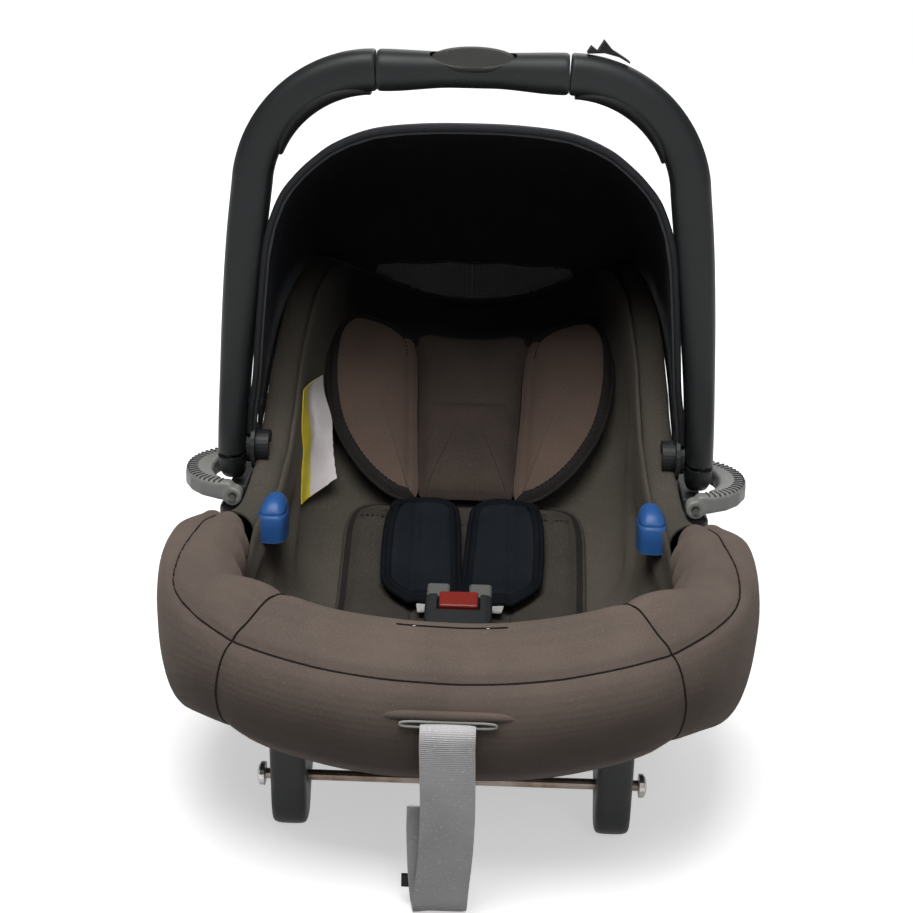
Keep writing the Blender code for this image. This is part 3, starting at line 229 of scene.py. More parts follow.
class Nodes:
    """A node material under construction: its base colour, its bump and their inputs."""

    def __init__(self, name, rgb, roughness, metallic=0.0):
        self.made = bpy.data.materials.new(name)
        self.made.use_nodes = True
        self.tree = self.made.node_tree
        self.shader = self.tree.nodes["Principled BSDF"]
        self.shader.inputs["Base Color"].default_value = (*rgb, 1.0)
        self.shader.inputs["Roughness"].default_value = roughness
        self.shader.inputs["Metallic"].default_value = metallic
        self.solid = self.add("ShaderNodeTexCoord").outputs["Object"]
        self.colour = None
        self.height = None

    def add(self, kind, inputs=(), **settings):
        node = self.tree.nodes.new(kind)
        for key, value in settings.items():
            setattr(node, key, value)
        for key, value in dict(inputs).items():
            if isinstance(value, bpy.types.NodeSocket):
                self.tree.links.new(value, node.inputs[key])
            else:
                node.inputs[key].default_value = value
        return node

    def noise(self, scale, detail=3.0, roughness=0.55, vector=None, distortion=0.0):
        inputs = {"Vector": vector or self.solid, "Scale": scale, "Detail": detail, "Roughness": roughness}
        return self.add("ShaderNodeTexNoise", {**inputs, "Distortion": distortion}).outputs["Fac"]

    def stretched(self, sx, sy, sz, vector=None):
        inputs = {"Vector": vector or self.solid, "Scale": (sx, sy, sz)}
        return self.add("ShaderNodeMapping", inputs).outputs["Vector"]

    def bands(self, direction, period, vector):
        scale = 2 * math.pi / (20 * period)
        inputs = {"Vector": vector, "Scale": scale, "Distortion": 0.0, "Detail": 0.0}
        return self.add("ShaderNodeTexWave", inputs, bands_direction=direction).outputs["Fac"]

    def cloth(self):
        return self.add("ShaderNodeAttribute", attribute_name=CLOTH_COORDINATES).outputs["Vector"]

    def ramp(self, factor, low, high):
        """A factor stretched so that low gives 0 and high gives 1."""
        inputs = {"Value": factor, "From Min": low, "From Max": high}
        return self.add("ShaderNodeMapRange", inputs, clamp=True).outputs["Result"]

    def math(self, operation, a, b):
        return self.add("ShaderNodeMath", {0: a, 1: b}, operation=operation).outputs["Value"]

    def mix(self, factor, a, b):
        """A mix of two colours, each a tuple or a socket."""
        node = self.add("ShaderNodeMix", data_type="RGBA")
        for slot, value in ((node.inputs[0], factor), (node.inputs[6], a), (node.inputs[7], b)):
            if isinstance(value, bpy.types.NodeSocket):
                self.tree.links.new(value, slot)
            elif isinstance(value, tuple):
                slot.default_value = (*value, 1.0)
            else:
                slot.default_value = value
        return node.outputs[2]

    def paint(self, colour):
        self.colour = colour
        self.tree.links.new(colour, self.shader.inputs["Base Color"])

    def tint_by_noise(self, a, b, scale, low=0.35, high=0.65):
        self.paint(self.mix(self.ramp(self.noise(scale), low, high), self.colour or a, b))

    def speckle(self, rgb, scale, low, high):
        """Flecks of another colour where fine noise is high."""
        self.paint(self.mix(self.ramp(self.noise(scale, 2.0), low, high), self.colour, rgb))

    def edge_wear(self, rgb, low=0.52, high=0.60):
        """A paler tone on convex edges."""
        pointiness = self.add("ShaderNodeNewGeometry").outputs["Pointiness"]
        self.paint(self.mix(self.ramp(pointiness, low, high), self.colour, rgb))

    def crease_shade(self, rgb, low=0.40, high=0.495):
        """Painted shade: a darker tone down in creases and seams."""
        pointiness = self.add("ShaderNodeNewGeometry").outputs["Pointiness"]
        self.paint(self.mix(self.ramp(pointiness, low, high), rgb, self.colour))

    def rough_by_noise(self, low, high, scale):
        node = self.add("ShaderNodeMapRange", {"Value": self.noise(scale), "To Min": low, "To Max": high})
        self.tree.links.new(node.outputs["Result"], self.shader.inputs["Roughness"])

    def bump(self, height, strength, distance):
        inputs = {"Height": height, "Strength": strength, "Distance": distance}
        if self.height:
            inputs["Normal"] = self.height
        self.height = self.add("ShaderNodeBump", inputs).outputs["Normal"]
        self.tree.links.new(self.height, self.shader.inputs["Normal"])

    def specular(self, level):
        self.shader.inputs["Specular IOR Level"].default_value = level

    def sheen(self, weight, roughness, tint):
        self.shader.inputs["Sheen Weight"].default_value = weight
        self.shader.inputs["Sheen Roughness"].default_value = roughness
        self.shader.inputs["Sheen Tint"].default_value = (*tint, 1.0)


def jersey(name, light, dark, fleck, sheen=0.25, weave=0.0011):
    """Knitted cover fabric: fine rows of loops, fuzz, blotches of darker tone and painted shade in its
    creases.
    """
    made = Nodes(name, light, 0.92)
    made.tint_by_noise(light, dark, 14.0, 0.3, 0.72)
    made.speckle(fleck, 900.0, 0.55, 0.8)
    # Painted shade in the creases.
    made.crease_shade(tuple(c * 0.35 for c in dark))
    cloth = made.cloth()
    rows = made.math("MULTIPLY", made.bands("X", weave, cloth), made.bands("Y", weave * 0.8, cloth))
    made.bump(made.noise(60.0, 4.0), 0.25, 0.002)
    made.bump(made.math("ADD", rows, made.noise(1500.0, 2.0)), 0.35, 0.0005)
    made.sheen(sheen, 0.5, tuple(min(1.0, c * 3) for c in light))
    made.specular(0.2)
    return made.made


def neoprene(name, light, dark):
    """Smooth knit-faced foam of the harness pads."""
    made = Nodes(name, light, 0.8)
    made.tint_by_noise(light, dark, 30.0)
    made.speckle(tuple(c * 1.9 for c in light), 1300.0, 0.56, 0.8)
    made.bump(made.noise(1700.0, 2.0), 0.4, 0.0004)
    made.sheen(0.05, 0.4, (0.1, 0.13, 0.2))
    made.specular(0.12)
    return made.made


def strap_weave(name, light, dark):
    """Polyester webbing: fine ribs across it and a little soiling."""
    made = Nodes(name, light, 0.62)
    cloth = made.cloth()
    ribs = made.bands("Y", 0.0014, cloth)
    threads = made.bands("X", 0.0009, cloth)
    made.tint_by_noise(light, dark, 22.0, 0.35, 0.8)
    made.paint(made.mix(made.ramp(ribs, 0.1, 0.9), made.mix(0.35, made.colour, dark), made.colour))
    made.speckle(tuple(min(1.0, c * 1.25) for c in light), 700.0, 0.6, 0.75)
    made.bump(made.math("ADD", ribs, made.math("MULTIPLY", threads, 0.5)), 0.5, 0.0005)
    made.specular(0.35)
    made.sheen(0.2, 0.3, (0.8, 0.8, 0.85))
    return made.made


def hood_cloth(name, light, dark):
    """Tightly woven coated hood fabric with faint streaks along it."""
    made = Nodes(name, light, 0.66)
    cloth = made.cloth()
    streaks = made.noise(40.0, 3.0, 0.6, made.stretched(1.0, 9.0, 1.0, cloth))
    made.paint(made.mix(made.ramp(streaks, 0.35, 0.75), dark, light))
    made.speckle(tuple(c * 2.2 for c in light), 1100.0, 0.58, 0.8)
    weave = made.math("MULTIPLY", made.bands("X", 0.0013, cloth), made.bands("Y", 0.0013, cloth))
    made.bump(made.noise(35.0, 4.0), 0.2, 0.003)
    made.bump(weave, 0.4, 0.0004)
    made.sheen(0.04, 0.45, (0.4, 0.45, 0.6))
    made.specular(0.25)
    return made.made


def net(name):
    """Open window mesh: dark threads with holes between them."""
    made = Nodes(name, (0.03, 0.032, 0.036), 0.7)
    cloth = made.cloth()
    threads = made.math("MAXIMUM", made.bands("X", 0.0022, cloth), made.bands("Y", 0.0022, cloth))
    made.paint(made.mix(made.ramp(threads, 0.45, 0.8), (0.16, 0.165, 0.17), (0.03, 0.031, 0.034)))
    made.tint_by_noise(None, (0.09, 0.093, 0.098), 18.0)
    made.bump(threads, 0.6, 0.0006)
    return made.made


def moulded(name, light, dark, roughness, grain=0.3, worn=None):
    """Moulded plastic: fine grain, slow shade changes, hairline scratches and, where worn, rubbed edges."""
    made = Nodes(name, light, roughness)
    made.tint_by_noise(light, dark, 9.0)
    made.speckle(tuple(min(1.0, c * 1.35 + 0.004) for c in light), 1600.0, 0.6, 0.85)
    scratches = made.noise(260.0, 2.0, 0.5, made.stretched(1.0, 0.06, 0.4))
    scratched = tuple(min(1.0, c * 1.6 + 0.01) for c in light)
    made.paint(made.mix(made.ramp(scratches, 0.72, 0.8), made.colour, scratched))
    if worn:
        made.edge_wear(worn)
    made.rough_by_noise(roughness - 0.07, roughness + 0.09, 25.0)
    made.bump(made.noise(1900.0, 2.0), grain, 0.0003)
    made.specular(0.32)
    return made.made


def rubber(name, light, dark):
    made = Nodes(name, light, 0.6)
    made.tint_by_noise(light, dark, 12.0)
    made.speckle(tuple(c * 1.6 for c in light), 1200.0, 0.55, 0.8)
    made.rough_by_noise(0.5, 0.68, 30.0)
    made.bump(made.noise(2300.0, 1.0), 0.5, 0.0003)
    made.specular(0.25)
    return made.made


def metal(name, light, tarnish, roughness):
    """Drawn steel with tarnish and fine lines along the bar."""
    made = Nodes(name, light, roughness, 1.0)
    made.tint_by_noise(light, tarnish, 35.0, 0.4, 0.62)
    lines = made.noise(420.0, 3.0, 0.6, made.stretched(0.05, 1.0, 1.0))
    made.paint(made.mix(made.ramp(lines, 0.55, 0.8), made.colour, tuple(c * 0.6 for c in tarnish)))
    made.rough_by_noise(roughness - 0.1, roughness + 0.15, 60.0)
    made.bump(lines, 0.15, 0.0003)
    return made.made


def printed_tab(name, light, dark):
    """A woven tab with a satin face, blank."""
    made = Nodes(name, light, 0.55)
    made.tint_by_noise(light, dark, 25.0)
    made.speckle(dark, 800.0, 0.6, 0.85)
    made.bump(made.noise(1400.0, 2.0), 0.25, 0.0003)
    return made.made


def bead_foam(name):
    made = Nodes(name, (0.72, 0.72, 0.70), 0.85)
    cells = made.add("ShaderNodeTexVoronoi", {"Vector": made.solid, "Scale": 260.0}).outputs["Distance"]
    made.paint(made.mix(made.ramp(cells, 0.1, 0.7), (0.76, 0.76, 0.74), (0.55, 0.55, 0.53)))
    made.bump(cells, 0.6, 0.001)
    return made.made


def lining_cloth(name, light, dark, painted_hood_shade):
    """The cover inside the shell, with painted shade that turns it black under the hood at the head end."""
    made = Nodes(name, light, 0.95)
    made.tint_by_noise(light, dark, 11.0, 0.3, 0.7)
    made.speckle(tuple(c * 1.7 for c in light), 900.0, 0.56, 0.8)
    # Painted shade: near-black blended in towards the head end and up the back, where the hood shades the
    # lining.
    axes = made.add("ShaderNodeSeparateXYZ", {"Vector": made.solid}).outputs
    hood_shade_reach = made.math("ADD", axes["Y"], made.math("MULTIPLY", axes["Z"], 0.55))
    edge = made.math("ADD", hood_shade_reach, made.math("MULTIPLY", made.noise(18.0), 0.03))
    made.paint(made.mix(made.ramp(edge, 0.33, 0.43), made.colour, painted_hood_shade))
    # Painted shade in the creases.
    made.crease_shade(tuple(c * 0.4 for c in dark))
    cloth = made.cloth()
    rows = made.math("MULTIPLY", made.bands("X", 0.0012, cloth), made.bands("Y", 0.0010, cloth))
    made.bump(made.noise(45.0, 4.0), 0.3, 0.003)
    made.bump(made.math("ADD", rows, made.noise(1500.0, 2.0)), 0.35, 0.0005)
    made.sheen(0.2, 0.5, (0.3, 0.27, 0.24))
    made.specular(0.2)
    return made.made


FINISH = {
    "cover": jersey("cover_jersey", (0.142, 0.110, 0.092), (0.104, 0.081, 0.068), (0.18, 0.145, 0.122)),
    "ear": jersey("ear_jersey", (0.128, 0.088, 0.070), (0.096, 0.068, 0.056), (0.17, 0.125, 0.10)),
    "dark": jersey("dark_jersey", (0.050, 0.044, 0.037), (0.034, 0.030, 0.026), (0.10, 0.09, 0.077)),
    "centre": jersey("centre_jersey", (0.066, 0.050, 0.041), (0.044, 0.034, 0.029), (0.10, 0.08, 0.066)),
    # The lining's third colour is the near-black of its painted shade under the hood.
    "lining": lining_cloth(
        "lining_jersey", (0.088, 0.077, 0.062), (0.058, 0.051, 0.042), (0.004, 0.004, 0.005)
    ),
    "binding": jersey(
        "binding_tape", (0.022, 0.019, 0.018), (0.015, 0.013, 0.012), (0.045, 0.04, 0.037), 0.15
    ),
    "thread": jersey("seam_thread", (0.014, 0.01, 0.009), (0.009, 0.007, 0.006), (0.03, 0.024, 0.02), 0.05),
    "white_thread": printed_tab("white_thread", (0.62, 0.60, 0.56), (0.45, 0.43, 0.40)),
    "pad": neoprene("pad_neoprene", (0.0090, 0.0120, 0.0165), (0.0068, 0.0092, 0.0125)),
    "pad_edge": neoprene("pad_binding", (0.0042, 0.0055, 0.0085), (0.003, 0.004, 0.006)),
    "webbing": strap_weave("harness_webbing", (0.60, 0.585, 0.59), (0.42, 0.41, 0.415)),
    "hood": hood_cloth("hood_fabric", (0.0038, 0.0042, 0.0062), (0.0018, 0.002, 0.003)),
    "hood_edge": hood_cloth("hood_edge_tape", (0.012, 0.0125, 0.015), (0.007, 0.0075, 0.009)),
    "net": net("window_net"),
    "shell": moulded(
        "shell_plastic", (0.024, 0.025, 0.026), (0.017, 0.018, 0.019), 0.46, worn=(0.05, 0.052, 0.054)
    ),
    "flat_black": moulded("plain_black_plastic", (0.018, 0.019, 0.020), (0.013, 0.014, 0.015), 0.46),
    "flat_grey": moulded("plain_grey_plastic", (0.12, 0.12, 0.115), (0.09, 0.09, 0.086), 0.4),
    "handle": moulded(
        "handle_plastic", (0.013, 0.0145, 0.015), (0.009, 0.0105, 0.011), 0.5, worn=(0.03, 0.033, 0.034)
    ),
    "grip": rubber("soft_grip", (0.008, 0.0083, 0.0083), (0.005, 0.0053, 0.0053)),
    "badge": moulded("badge_plastic", (0.024, 0.024, 0.022), (0.017, 0.017, 0.016), 0.4),
    "grey": moulded("grey_plastic", (0.25, 0.25, 0.235), (0.20, 0.20, 0.188), 0.42, 0.2, (0.36, 0.36, 0.34)),
    "slot_grey": moulded("slot_grey_plastic", (0.33, 0.33, 0.31), (0.24, 0.24, 0.225), 0.4, 0.2),
    "blue": moulded(
        "blue_plastic", (0.030, 0.115, 0.34), (0.022, 0.088, 0.28), 0.36, 0.15, (0.09, 0.22, 0.5)
    ),
    "red": moulded("red_plastic", (0.22, 0.022, 0.016), (0.17, 0.018, 0.013), 0.38, 0.15),
    "steel": metal("bar_steel", (0.36, 0.31, 0.27), (0.22, 0.15, 0.11), 0.38),
    "cap_steel": metal("cap_steel", (0.50, 0.49, 0.47), (0.33, 0.31, 0.29), 0.3),
    "foam": bead_foam("bead_foam"),
    "tab_yellow": printed_tab("tab_yellow", (0.72, 0.60, 0.035), (0.60, 0.49, 0.03)),
    "tab_white": printed_tab("tab_white", (0.66, 0.62, 0.62), (0.52, 0.48, 0.48)),
}


# Mesh building


def new_piece(name, verts, faces, body, finishes, coords=None, indices=None):
    """A visible piece that rides on a body, with finishes from FINISH. indices says which each face takes."""
    mesh = bpy.data.meshes.new(name)
    mesh.from_pydata([tuple(v) for v in verts], [], faces)
    for finish in [finishes] if isinstance(finishes, str) else finishes:
        mesh.materials.append(FINISH[finish])
    if indices is not None:
        mesh.polygons.foreach_set("material_index", indices)
    if coords is not None:
        attribute = mesh.attributes.new(CLOTH_COORDINATES, "FLOAT_VECTOR", "POINT")
        attribute.data.foreach_set("vector", np.array(coords, np.float32).ravel())
    mesh.shade_smooth()
    mesh.set_sharp_from_angle(angle=math.radians(50))
    made = bpy.data.objects.new(name, mesh)
    bpy.context.scene.collection.objects.link(made)
    facing_out(made)
    if body:
        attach(made, body)
    return made


def facing_out(obj):
    mesh = bmesh.new()
    mesh.from_mesh(obj.data)
    bmesh.ops.recalc_face_normals(mesh, faces=mesh.faces)
    mesh.to_mesh(obj.data)
    mesh.free()


def skin(rings, wrap, cap=False):
    """Vertices and faces of the surface through the rings. wrap closes each ring, cap closes both ends."""
    verts, starts, faces = [], [], []
    for ring in rings:
        starts.append(len(verts))
        verts.extend(ring)
    for i, (upper, lower) in enumerate(zip(rings, rings[1:])):
        a, b, n = starts[i], starts[i + 1], max(len(upper), len(lower))
        for j in range(n if wrap else n - 1):
            k = (j + 1) % n
            if len(lower) == 1:
                faces.append((a + j, a + k, b))
            elif len(upper) == 1:
                faces.append((a, b + k, b + j))
            else:
                faces.append((a + j, a + k, b + k, b + j))
    if cap:
        n = len(rings[0])
        faces.append(tuple(range(n)))
        faces.append(tuple(range(len(verts) - n, len(verts))))
    return verts, faces


def flat_coordinates(rings):
    """Metres across and along the cloth for each vertex of a skin, from the rings' own lengths."""
    widest = max(rings, key=len)
    across = [0.0]
    for a, b in zip(widest, widest[1:]):
        across.append(across[-1] + (b - a).length)
    made, along, before = [], 0.0, rings[0]
    for ring in rings:
        middle = len(ring) // 2
        along += (ring[middle] - before[min(middle, len(before) - 1)]).length
        before = ring
        for j in range(len(ring)):
            made.append((across[j] if len(ring) > 1 else 0.0, along, 0.0))
    return made


def lofted(name, rings, body, finishes, wrap=True, cap=True, indices=None):
    verts, faces = skin(rings, wrap, cap)
    return new_piece(name, verts, faces, body, finishes, flat_coordinates(rings), indices)


def thicken(obj, thickness, offset):
    """Gives a one-sided sheet its thickness, as real faces."""
    step = obj.modifiers.new("wall", "SOLIDIFY")
    step.thickness = thickness * MM
    step.offset = offset
    step.use_even_offset = True
    return bake(obj)


def bake(obj):
    """Turns the object's modifiers into its mesh."""
    graph = bpy.context.evaluated_depsgraph_get()
    made = bpy.data.meshes.new_from_object(obj.evaluated_get(graph), depsgraph=graph)
    obj.modifiers.clear()
    obj.data = made
    return obj


def neighbours(points, i):
    """The points after and before the one at i. An end point stands in for the one beyond it."""
    return points[min(i + 1, len(points) - 1)], points[max(i - 1, 0)]


def tube_rings(points, radius, closed, sides=8):
    """Rings of a round tube along the points, in metres, with a steady frame."""
    count = len(points)
    rings = []
    side = None
    for i, point in enumerate(points):
        ahead, behind = (points[(i + 1) % count], points[i - 1]) if closed else neighbours(points, i)
        along = (ahead - behind).normalized()
        if side is None:
            side = along.cross(Vector((0.31, 0.22, 0.92))).normalized()
        side = (side - along * side.dot(along)).normalized()
        up = along.cross(side)
        angles = np.linspace(0, 2 * math.pi, sides, endpoint=False)
        rings.append([point + (side * math.cos(a) + up * math.sin(a)) * radius * MM for a in angles])
    return rings


def tube(name, points, radius, body, finish, closed=False, sides=8):
    rings = tube_rings(points, radius, closed, sides)
    if closed:
        rings.append(rings[0])
    made = lofted(name, rings, body, finish, cap=not closed)
    if closed:
        mesh = bmesh.new()
        mesh.from_mesh(made.data)
        bmesh.ops.remove_doubles(mesh, verts=mesh.verts, dist=1e-7)
        mesh.to_mesh(made.data)
        mesh.free()
    return made


def lengths_of(points):
    made = [0.0]
    for a, b in zip(points, points[1:]):
        made.append(made[-1] + (b - a).length)
    return made


def point_at(points, lengths, run):
    i = min(max(int(np.searchsorted(lengths, run)) - 1, 0), len(points) - 2)
    t = (run - lengths[i]) / max(lengths[i + 1] - lengths[i], 1e-9)
    return points[i].lerp(points[i + 1], t)


def add_skin(verts, faces, rings):
    """Adds the closed surface through the rings to a piece's vertices and faces."""
    part_verts, part_faces = skin(rings, True, True)
    start = len(verts)
    verts += part_verts
    faces += [tuple(start + i for i in face) for face in part_faces]


def stitches(name, points, length, gap, radius, body, finish):
    """A row of short raised stitches along the points, as one piece."""
    lengths = lengths_of(points)
    verts, faces = [], []
    run = gap * MM
    while run + length * MM < lengths[-1]:
        ends = [point_at(points, lengths, run + length * MM * t) for t in (0.0, 0.25, 0.75, 1.0)]
        rings = tube_rings(ends, radius, False, 6)
        for i in (0, -1):
            centre = sum(rings[i], Vector()) / len(rings[i])
            rings[i] = [centre.lerp(p, 0.4) for p in rings[i]]
        add_skin(verts, faces, rings)
        run += (length + gap) * MM
    coords = [(v.x, v.y, 0.0) for v in verts]
    return new_piece(name, verts, faces, body, finish, coords)


def softened(name, node, body, finish, slot, voxel=1.4, rounds=6):
    """A CAD solid with its edges rounded as moulded plastic has them, standing for its node."""
    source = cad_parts[node]
    made = bpy.data.objects.new(name, source.data.copy())
    bpy.context.scene.collection.objects.link(made)
    remesh = made.modifiers.new("remesh", "REMESH")
    remesh.mode = "VOXEL"
    remesh.voxel_size = voxel * MM
    remesh.use_smooth_shade = True
    relax = made.modifiers.new("relax", "SMOOTH")
    relax.factor = 0.5
    relax.iterations = rounds
    bake(made)
    made.data.materials.clear()
    made.data.materials.append(FINISH[finish])
    made.data.polygons.foreach_set("material_index", [0] * len(made.data.polygons))
    made.data.shade_smooth()
    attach(made, body)
    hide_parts(node)
    return made


# Shell, lining and the surfaces that soft parts rest on


def spine_z(y):
    curve = smooth_curve(SPINE, 60)
    return float(np.interp(y, curve[:, 0], curve[:, 1]))


def rim_curve(count):
    """The rim all round from the foot end through +X, with its outward normals."""
    half = smooth_curve(RIM, count, True, True)
    left = half[1:-1] * np.array([-1, 1, 1])
    loop = np.vstack([half, left[::-1]])
    along = (np.roll(loop, -1, 0) - np.roll(loop, 1, 0))[:, :2]
    along /= np.linalg.norm(along, axis=1)[:, None]
    return loop, np.column_stack([along[:, 1], -along[:, 0]])


def tub_rings(inset, lift, drop_at, levels, count, shape_at=None):
    """Rings from the rim down to the floor's middle. shape_at(t) gives millimetres in from the wall."""
    loop, normal = rim_curve(count)
    rings = []
    for step in np.linspace(0, 1, levels + 1)[:-1]:
        t = (1 - math.cos(step * math.pi)) / 2
        t = 0.35 * step + 0.65 * t
        across = math.cos(t * math.pi / 2) ** TUB_ROUNDING
        down = math.sin(t * math.pi / 2) ** TUB_ROUNDING
        extra = shape_at(t) if shape_at else 0.0
        ring = []
        for (x, y, z), (nx, ny) in zip(loop, normal):
            top = z - drop_at(y)
            px = (x - nx * (inset + extra * across)) * across
            py = BIGHT_Y + (y - ny * (inset + extra * across) - BIGHT_Y) * across
            floor = spine_z(py) + lift + extra * (1 - across)
            ring.append(place(px, py, top - (top - floor) * down))
        rings.append(ring)
    rings.append([place(0, BIGHT_Y, spine_z(BIGHT_Y) + lift)])
    return rings


def rim_band(t):
    """The raised band under the shell's rim."""
    return -2.2 * smoothstep(0.16 - t, 0.0, 0.02)


def seat_shell():
    """The moulded shell with a thick rolled rim."""
    verts, faces = skin(tub_rings(0, 0, lambda y: 0.0, 44, 110, rim_band), True)
    coords = [(v.x, v.y, 0.0) for v in verts]
    shell = new_piece("shell", verts, faces, "seat", "shell", coords)
    thicken(shell, SHELL_WALL, -1.0)
    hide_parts("seat_shell")
    return shell


def lining_drop(y):
    return 32.0 * (1 - smoothstep(y, -98, -64)) - 2.0


# Wrinkles of the lining's side walls: y and z of the middle, angle, length, width and height.
WALL_FOLDS = [
    (-86, 150, 58, 46, 6.0, 3.0), (-70, 128, 64, 40, 5.0, 2.6), (-52, 148, 52, 44, 6.5, -2.6),
    (-34, 120, 60, 38, 5.5, 2.4), (-14, 138, 40, 46, 7.0, 2.6), (8, 165, 30, 50, 8.0, -2.4),
    (36, 176, 55, 44, 7.0, 2.2), (60, 205, 48, 46, 8.0, 2.0), (92, 232, 62, 50, 9.0, -2.0),
    (-100, 112, 70, 34, 5.0, 2.4), (-120, 128, 66, 38, 5.5, -2.2), (-140, 110, 74, 40, 6.0, 2.0),
]


def wall_wrinkle(point, side):
    y, z = (point.y - HINGE_Y) / MM, point.z / MM
    total = 0.0
    for fy, fz, angle, length, width, height in WALL_FOLDS:
        shift = 9.0 if side > 0 else 0.0
        dy, dz = y - fy - shift, z - fz + shift * 0.5
        a = math.radians(angle)
        along, across = dy * math.cos(a) + dz * math.sin(a), -dy * math.sin(a) + dz * math.cos(a)
        across += 3.0 * math.sin(along / 13.0)
        total += height * bell(across, width) * bell(along, length * 0.62)
    return total


def lining():
    rings = tub_rings(LINING_INSET, LINING_LIFT, lining_drop, 56, 130)
    middle = place(0, BIGHT_Y + 20, 200)
    shaped = []
    for ring in rings:
        row = []
        for point in ring:
            x = abs(point.x) / MM
            wall = smoothstep(x, 70, 130)
            lump = 1.6 * wobble(point, 70, 3.0) + 0.9 * wobble(point, 26, 5.0)
            lift = 1.5 * wall * wall_wrinkle(point, math.copysign(1, point.x)) + lump
            row.append(point + (middle - point).normalized() * lift * MM)
        shaped.append(row)
    made = lofted("lining_cover", shaped, "seat", "lining", cap=False)
    thicken(made, LINING_WALL, -1.0)
    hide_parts("seat_lining")
    return made


def rim_flap():
    """The cover's edge, rolled over the shell's rim and down outside it, all round the head end."""
    loop, normal = rim_curve(130)
    outer = [
        (-21.5, -16), (-21, -8), (-18, -1), (-12, 3.6), (-4, 5.6), (1.5, 4.6), (3.6, 0.0), (3.9, -9),
        (3.4, -15),
    ]
    inner = [
        (1.8, -15), (2.2, -9), (2.0, -0.6), (0.6, 2.9), (-4, 3.8), (-11.4, 2.0), (-17, -2.4), (-19.6, -8.6),
        (-20, -16),
    ]
    section = closed_curve(outer + inner, 3)
    rings = []
    for (x, y, z), (nx, ny) in zip(loop, normal):
        if y < -72:
            continue
        ring = []
        for n, h in section:
            point = place(x + nx * n, y + ny * n, z + h)
            ring.append(point + Vector((nx, ny, 0.6)) * 0.7 * MM * wobble(point, 22, 9.0))
        rings.append(ring)
    made = lofted("rim_flap", rings, "seat", "lining")
    return made


class SeatSurface:
    """Finds points on top of what has been laid in the seat so far."""

    def __init__(self):
        self.verts, self.faces = [], []

    def add(self, obj):
        start = len(self.verts)
        self.verts += [obj.matrix_world @ v.co for v in obj.data.vertices]
        self.faces += [tuple(start + i for i in p.vertices) for p in obj.data.polygons]
        self.tree = BVHTree.FromPolygons(self.verts, self.faces)

    def at(self, x, s, height):
        """The point a height above the surface, x across and s up the seat's middle line from the bight."""
        lean = BACK_ANGLE * smoothstep(s, -45, 35) - PAN_ANGLE * smoothstep(-s, -5, 60)
        rise = max(s, 0) * math.sin(BACK_ANGLE) + max(-s, 0) * math.sin(PAN_ANGLE)
        run = max(s, 0) * math.cos(BACK_ANGLE) + min(s, 0) * math.cos(PAN_ANGLE)
        up = Vector((0, -math.sin(lean), math.cos(lean)))
        middle = place(x, BACK_START_Y + run, SEAT_Z + rise)
        hit = self.tree.ray_cast(middle + up * 0.12, -up)[0]
        return (hit or middle) + up * height * MM


# Padded pieces


def inset_outline(outline, distance):
    """A closed outline drawn in by a distance, for outlines without tight corners."""
    points = np.array(outline, float)
    along = np.roll(points, -1, 0) - np.roll(points, 1, 0)
    along /= np.linalg.norm(along, axis=1)[:, None]
    normal = np.column_stack([-along[:, 1], along[:, 0]])
    ahead = np.roll(points, -1, 0)
    area = 0.5 * np.sum(points[:, 0] * ahead[:, 1] - ahead[:, 0] * points[:, 1])
    return points + normal * distance * (1 if area > 0 else -1)


def pad(name, outline, where, top, base, body, finishes, border=8.0, rings=16, bound=None):
    """A closed pad over a flat outline.

    where(a, b, h) gives a point, top(d, a, b) and base(a, b) the heights of its front and back. d is the
    distance in from the edge. Faces of the border take the second finish where bound(a, b) is true. Returns
    the object, the line along its bound edge and the loops of the outline.
    """
    steps = [0.0, 0.5, 1.3, 2.5, 4.0, 5.8] + ([border] if border > 5.8 else [])
    loops = [(d, inset_outline(outline, d)) for d in steps]
    inner = loops[-1][1]
    centre = inner.mean(axis=0)
    radius = float(np.linalg.norm(inner - centre, axis=1).min())
    for k in range(1, rings):
        share = 1 - (k / rings) ** 0.9
        loops.append((border + (1 - share) * radius, centre + (inner - centre) * share))
    front = [[where(a, b, top(d, a, b)) for a, b in loop] for d, loop in loops]
    back = [[where(a, b, base(a, b)) for a, b in loop] for _, loop in loops[2::3]]
    crown = [where(*centre, top(border + radius, *centre))]
    underside = [where(*centre, base(*centre))]
    ring_list = [crown] + front[::-1] + back + [underside]
    verts, faces = skin(ring_list, True)
    flat = [(*centre, 0)] + [(a, b, 0) for _, loop in loops[::-1] for a, b in loop]
    flat += [(a, b, 0) for _, loop in loops[2::3] for a, b in loop] + [(*centre, 0)]
    coords = np.array(flat, float) * MM
    first_border = len(front) - len(steps)
    indices = []
    edged = [len(finishes) > 1 and (bound is None or bound(a, b)) for a, b in outline]
    for i in range(len(ring_list) - 1):
        indices += [1 if i > first_border and on_edge else 0 for on_edge in edged]
    made = new_piece(name, verts, faces, body, finishes, coords, indices)
    edge = [where(a, b, top(0.0, a, b) - 0.8) for (a, b), on_edge in zip(outline, edged) if on_edge]
    return made, edge, loops


def pillow(d, height, edge, softness):
    """Height of a stuffed pad a distance in from its edge."""
    return edge + (height - edge) * (1 - math.exp(-d / softness))


def lumps(a, b, size, seed):
    """wobble() over a pad's flat outline."""
    return wobble(Vector((a, b, 0)) * MM, size, seed)


def mirrored(outline, side):
    return [(side * a, b) for a, b in outline]


HEADREST_LOW, HEADREST_HIGH = 110.0, 304.0


def headrest_point(x, s, height):
    """A point on the headrest's back plane: x across, s up the plane and a height off it."""
    y = BACK_START_Y + s * math.cos(BACK_ANGLE) - height * math.sin(BACK_ANGLE)
    return place(x, y, HEADREST_Z + s * math.sin(BACK_ANGLE) + height * math.cos(BACK_ANGLE))


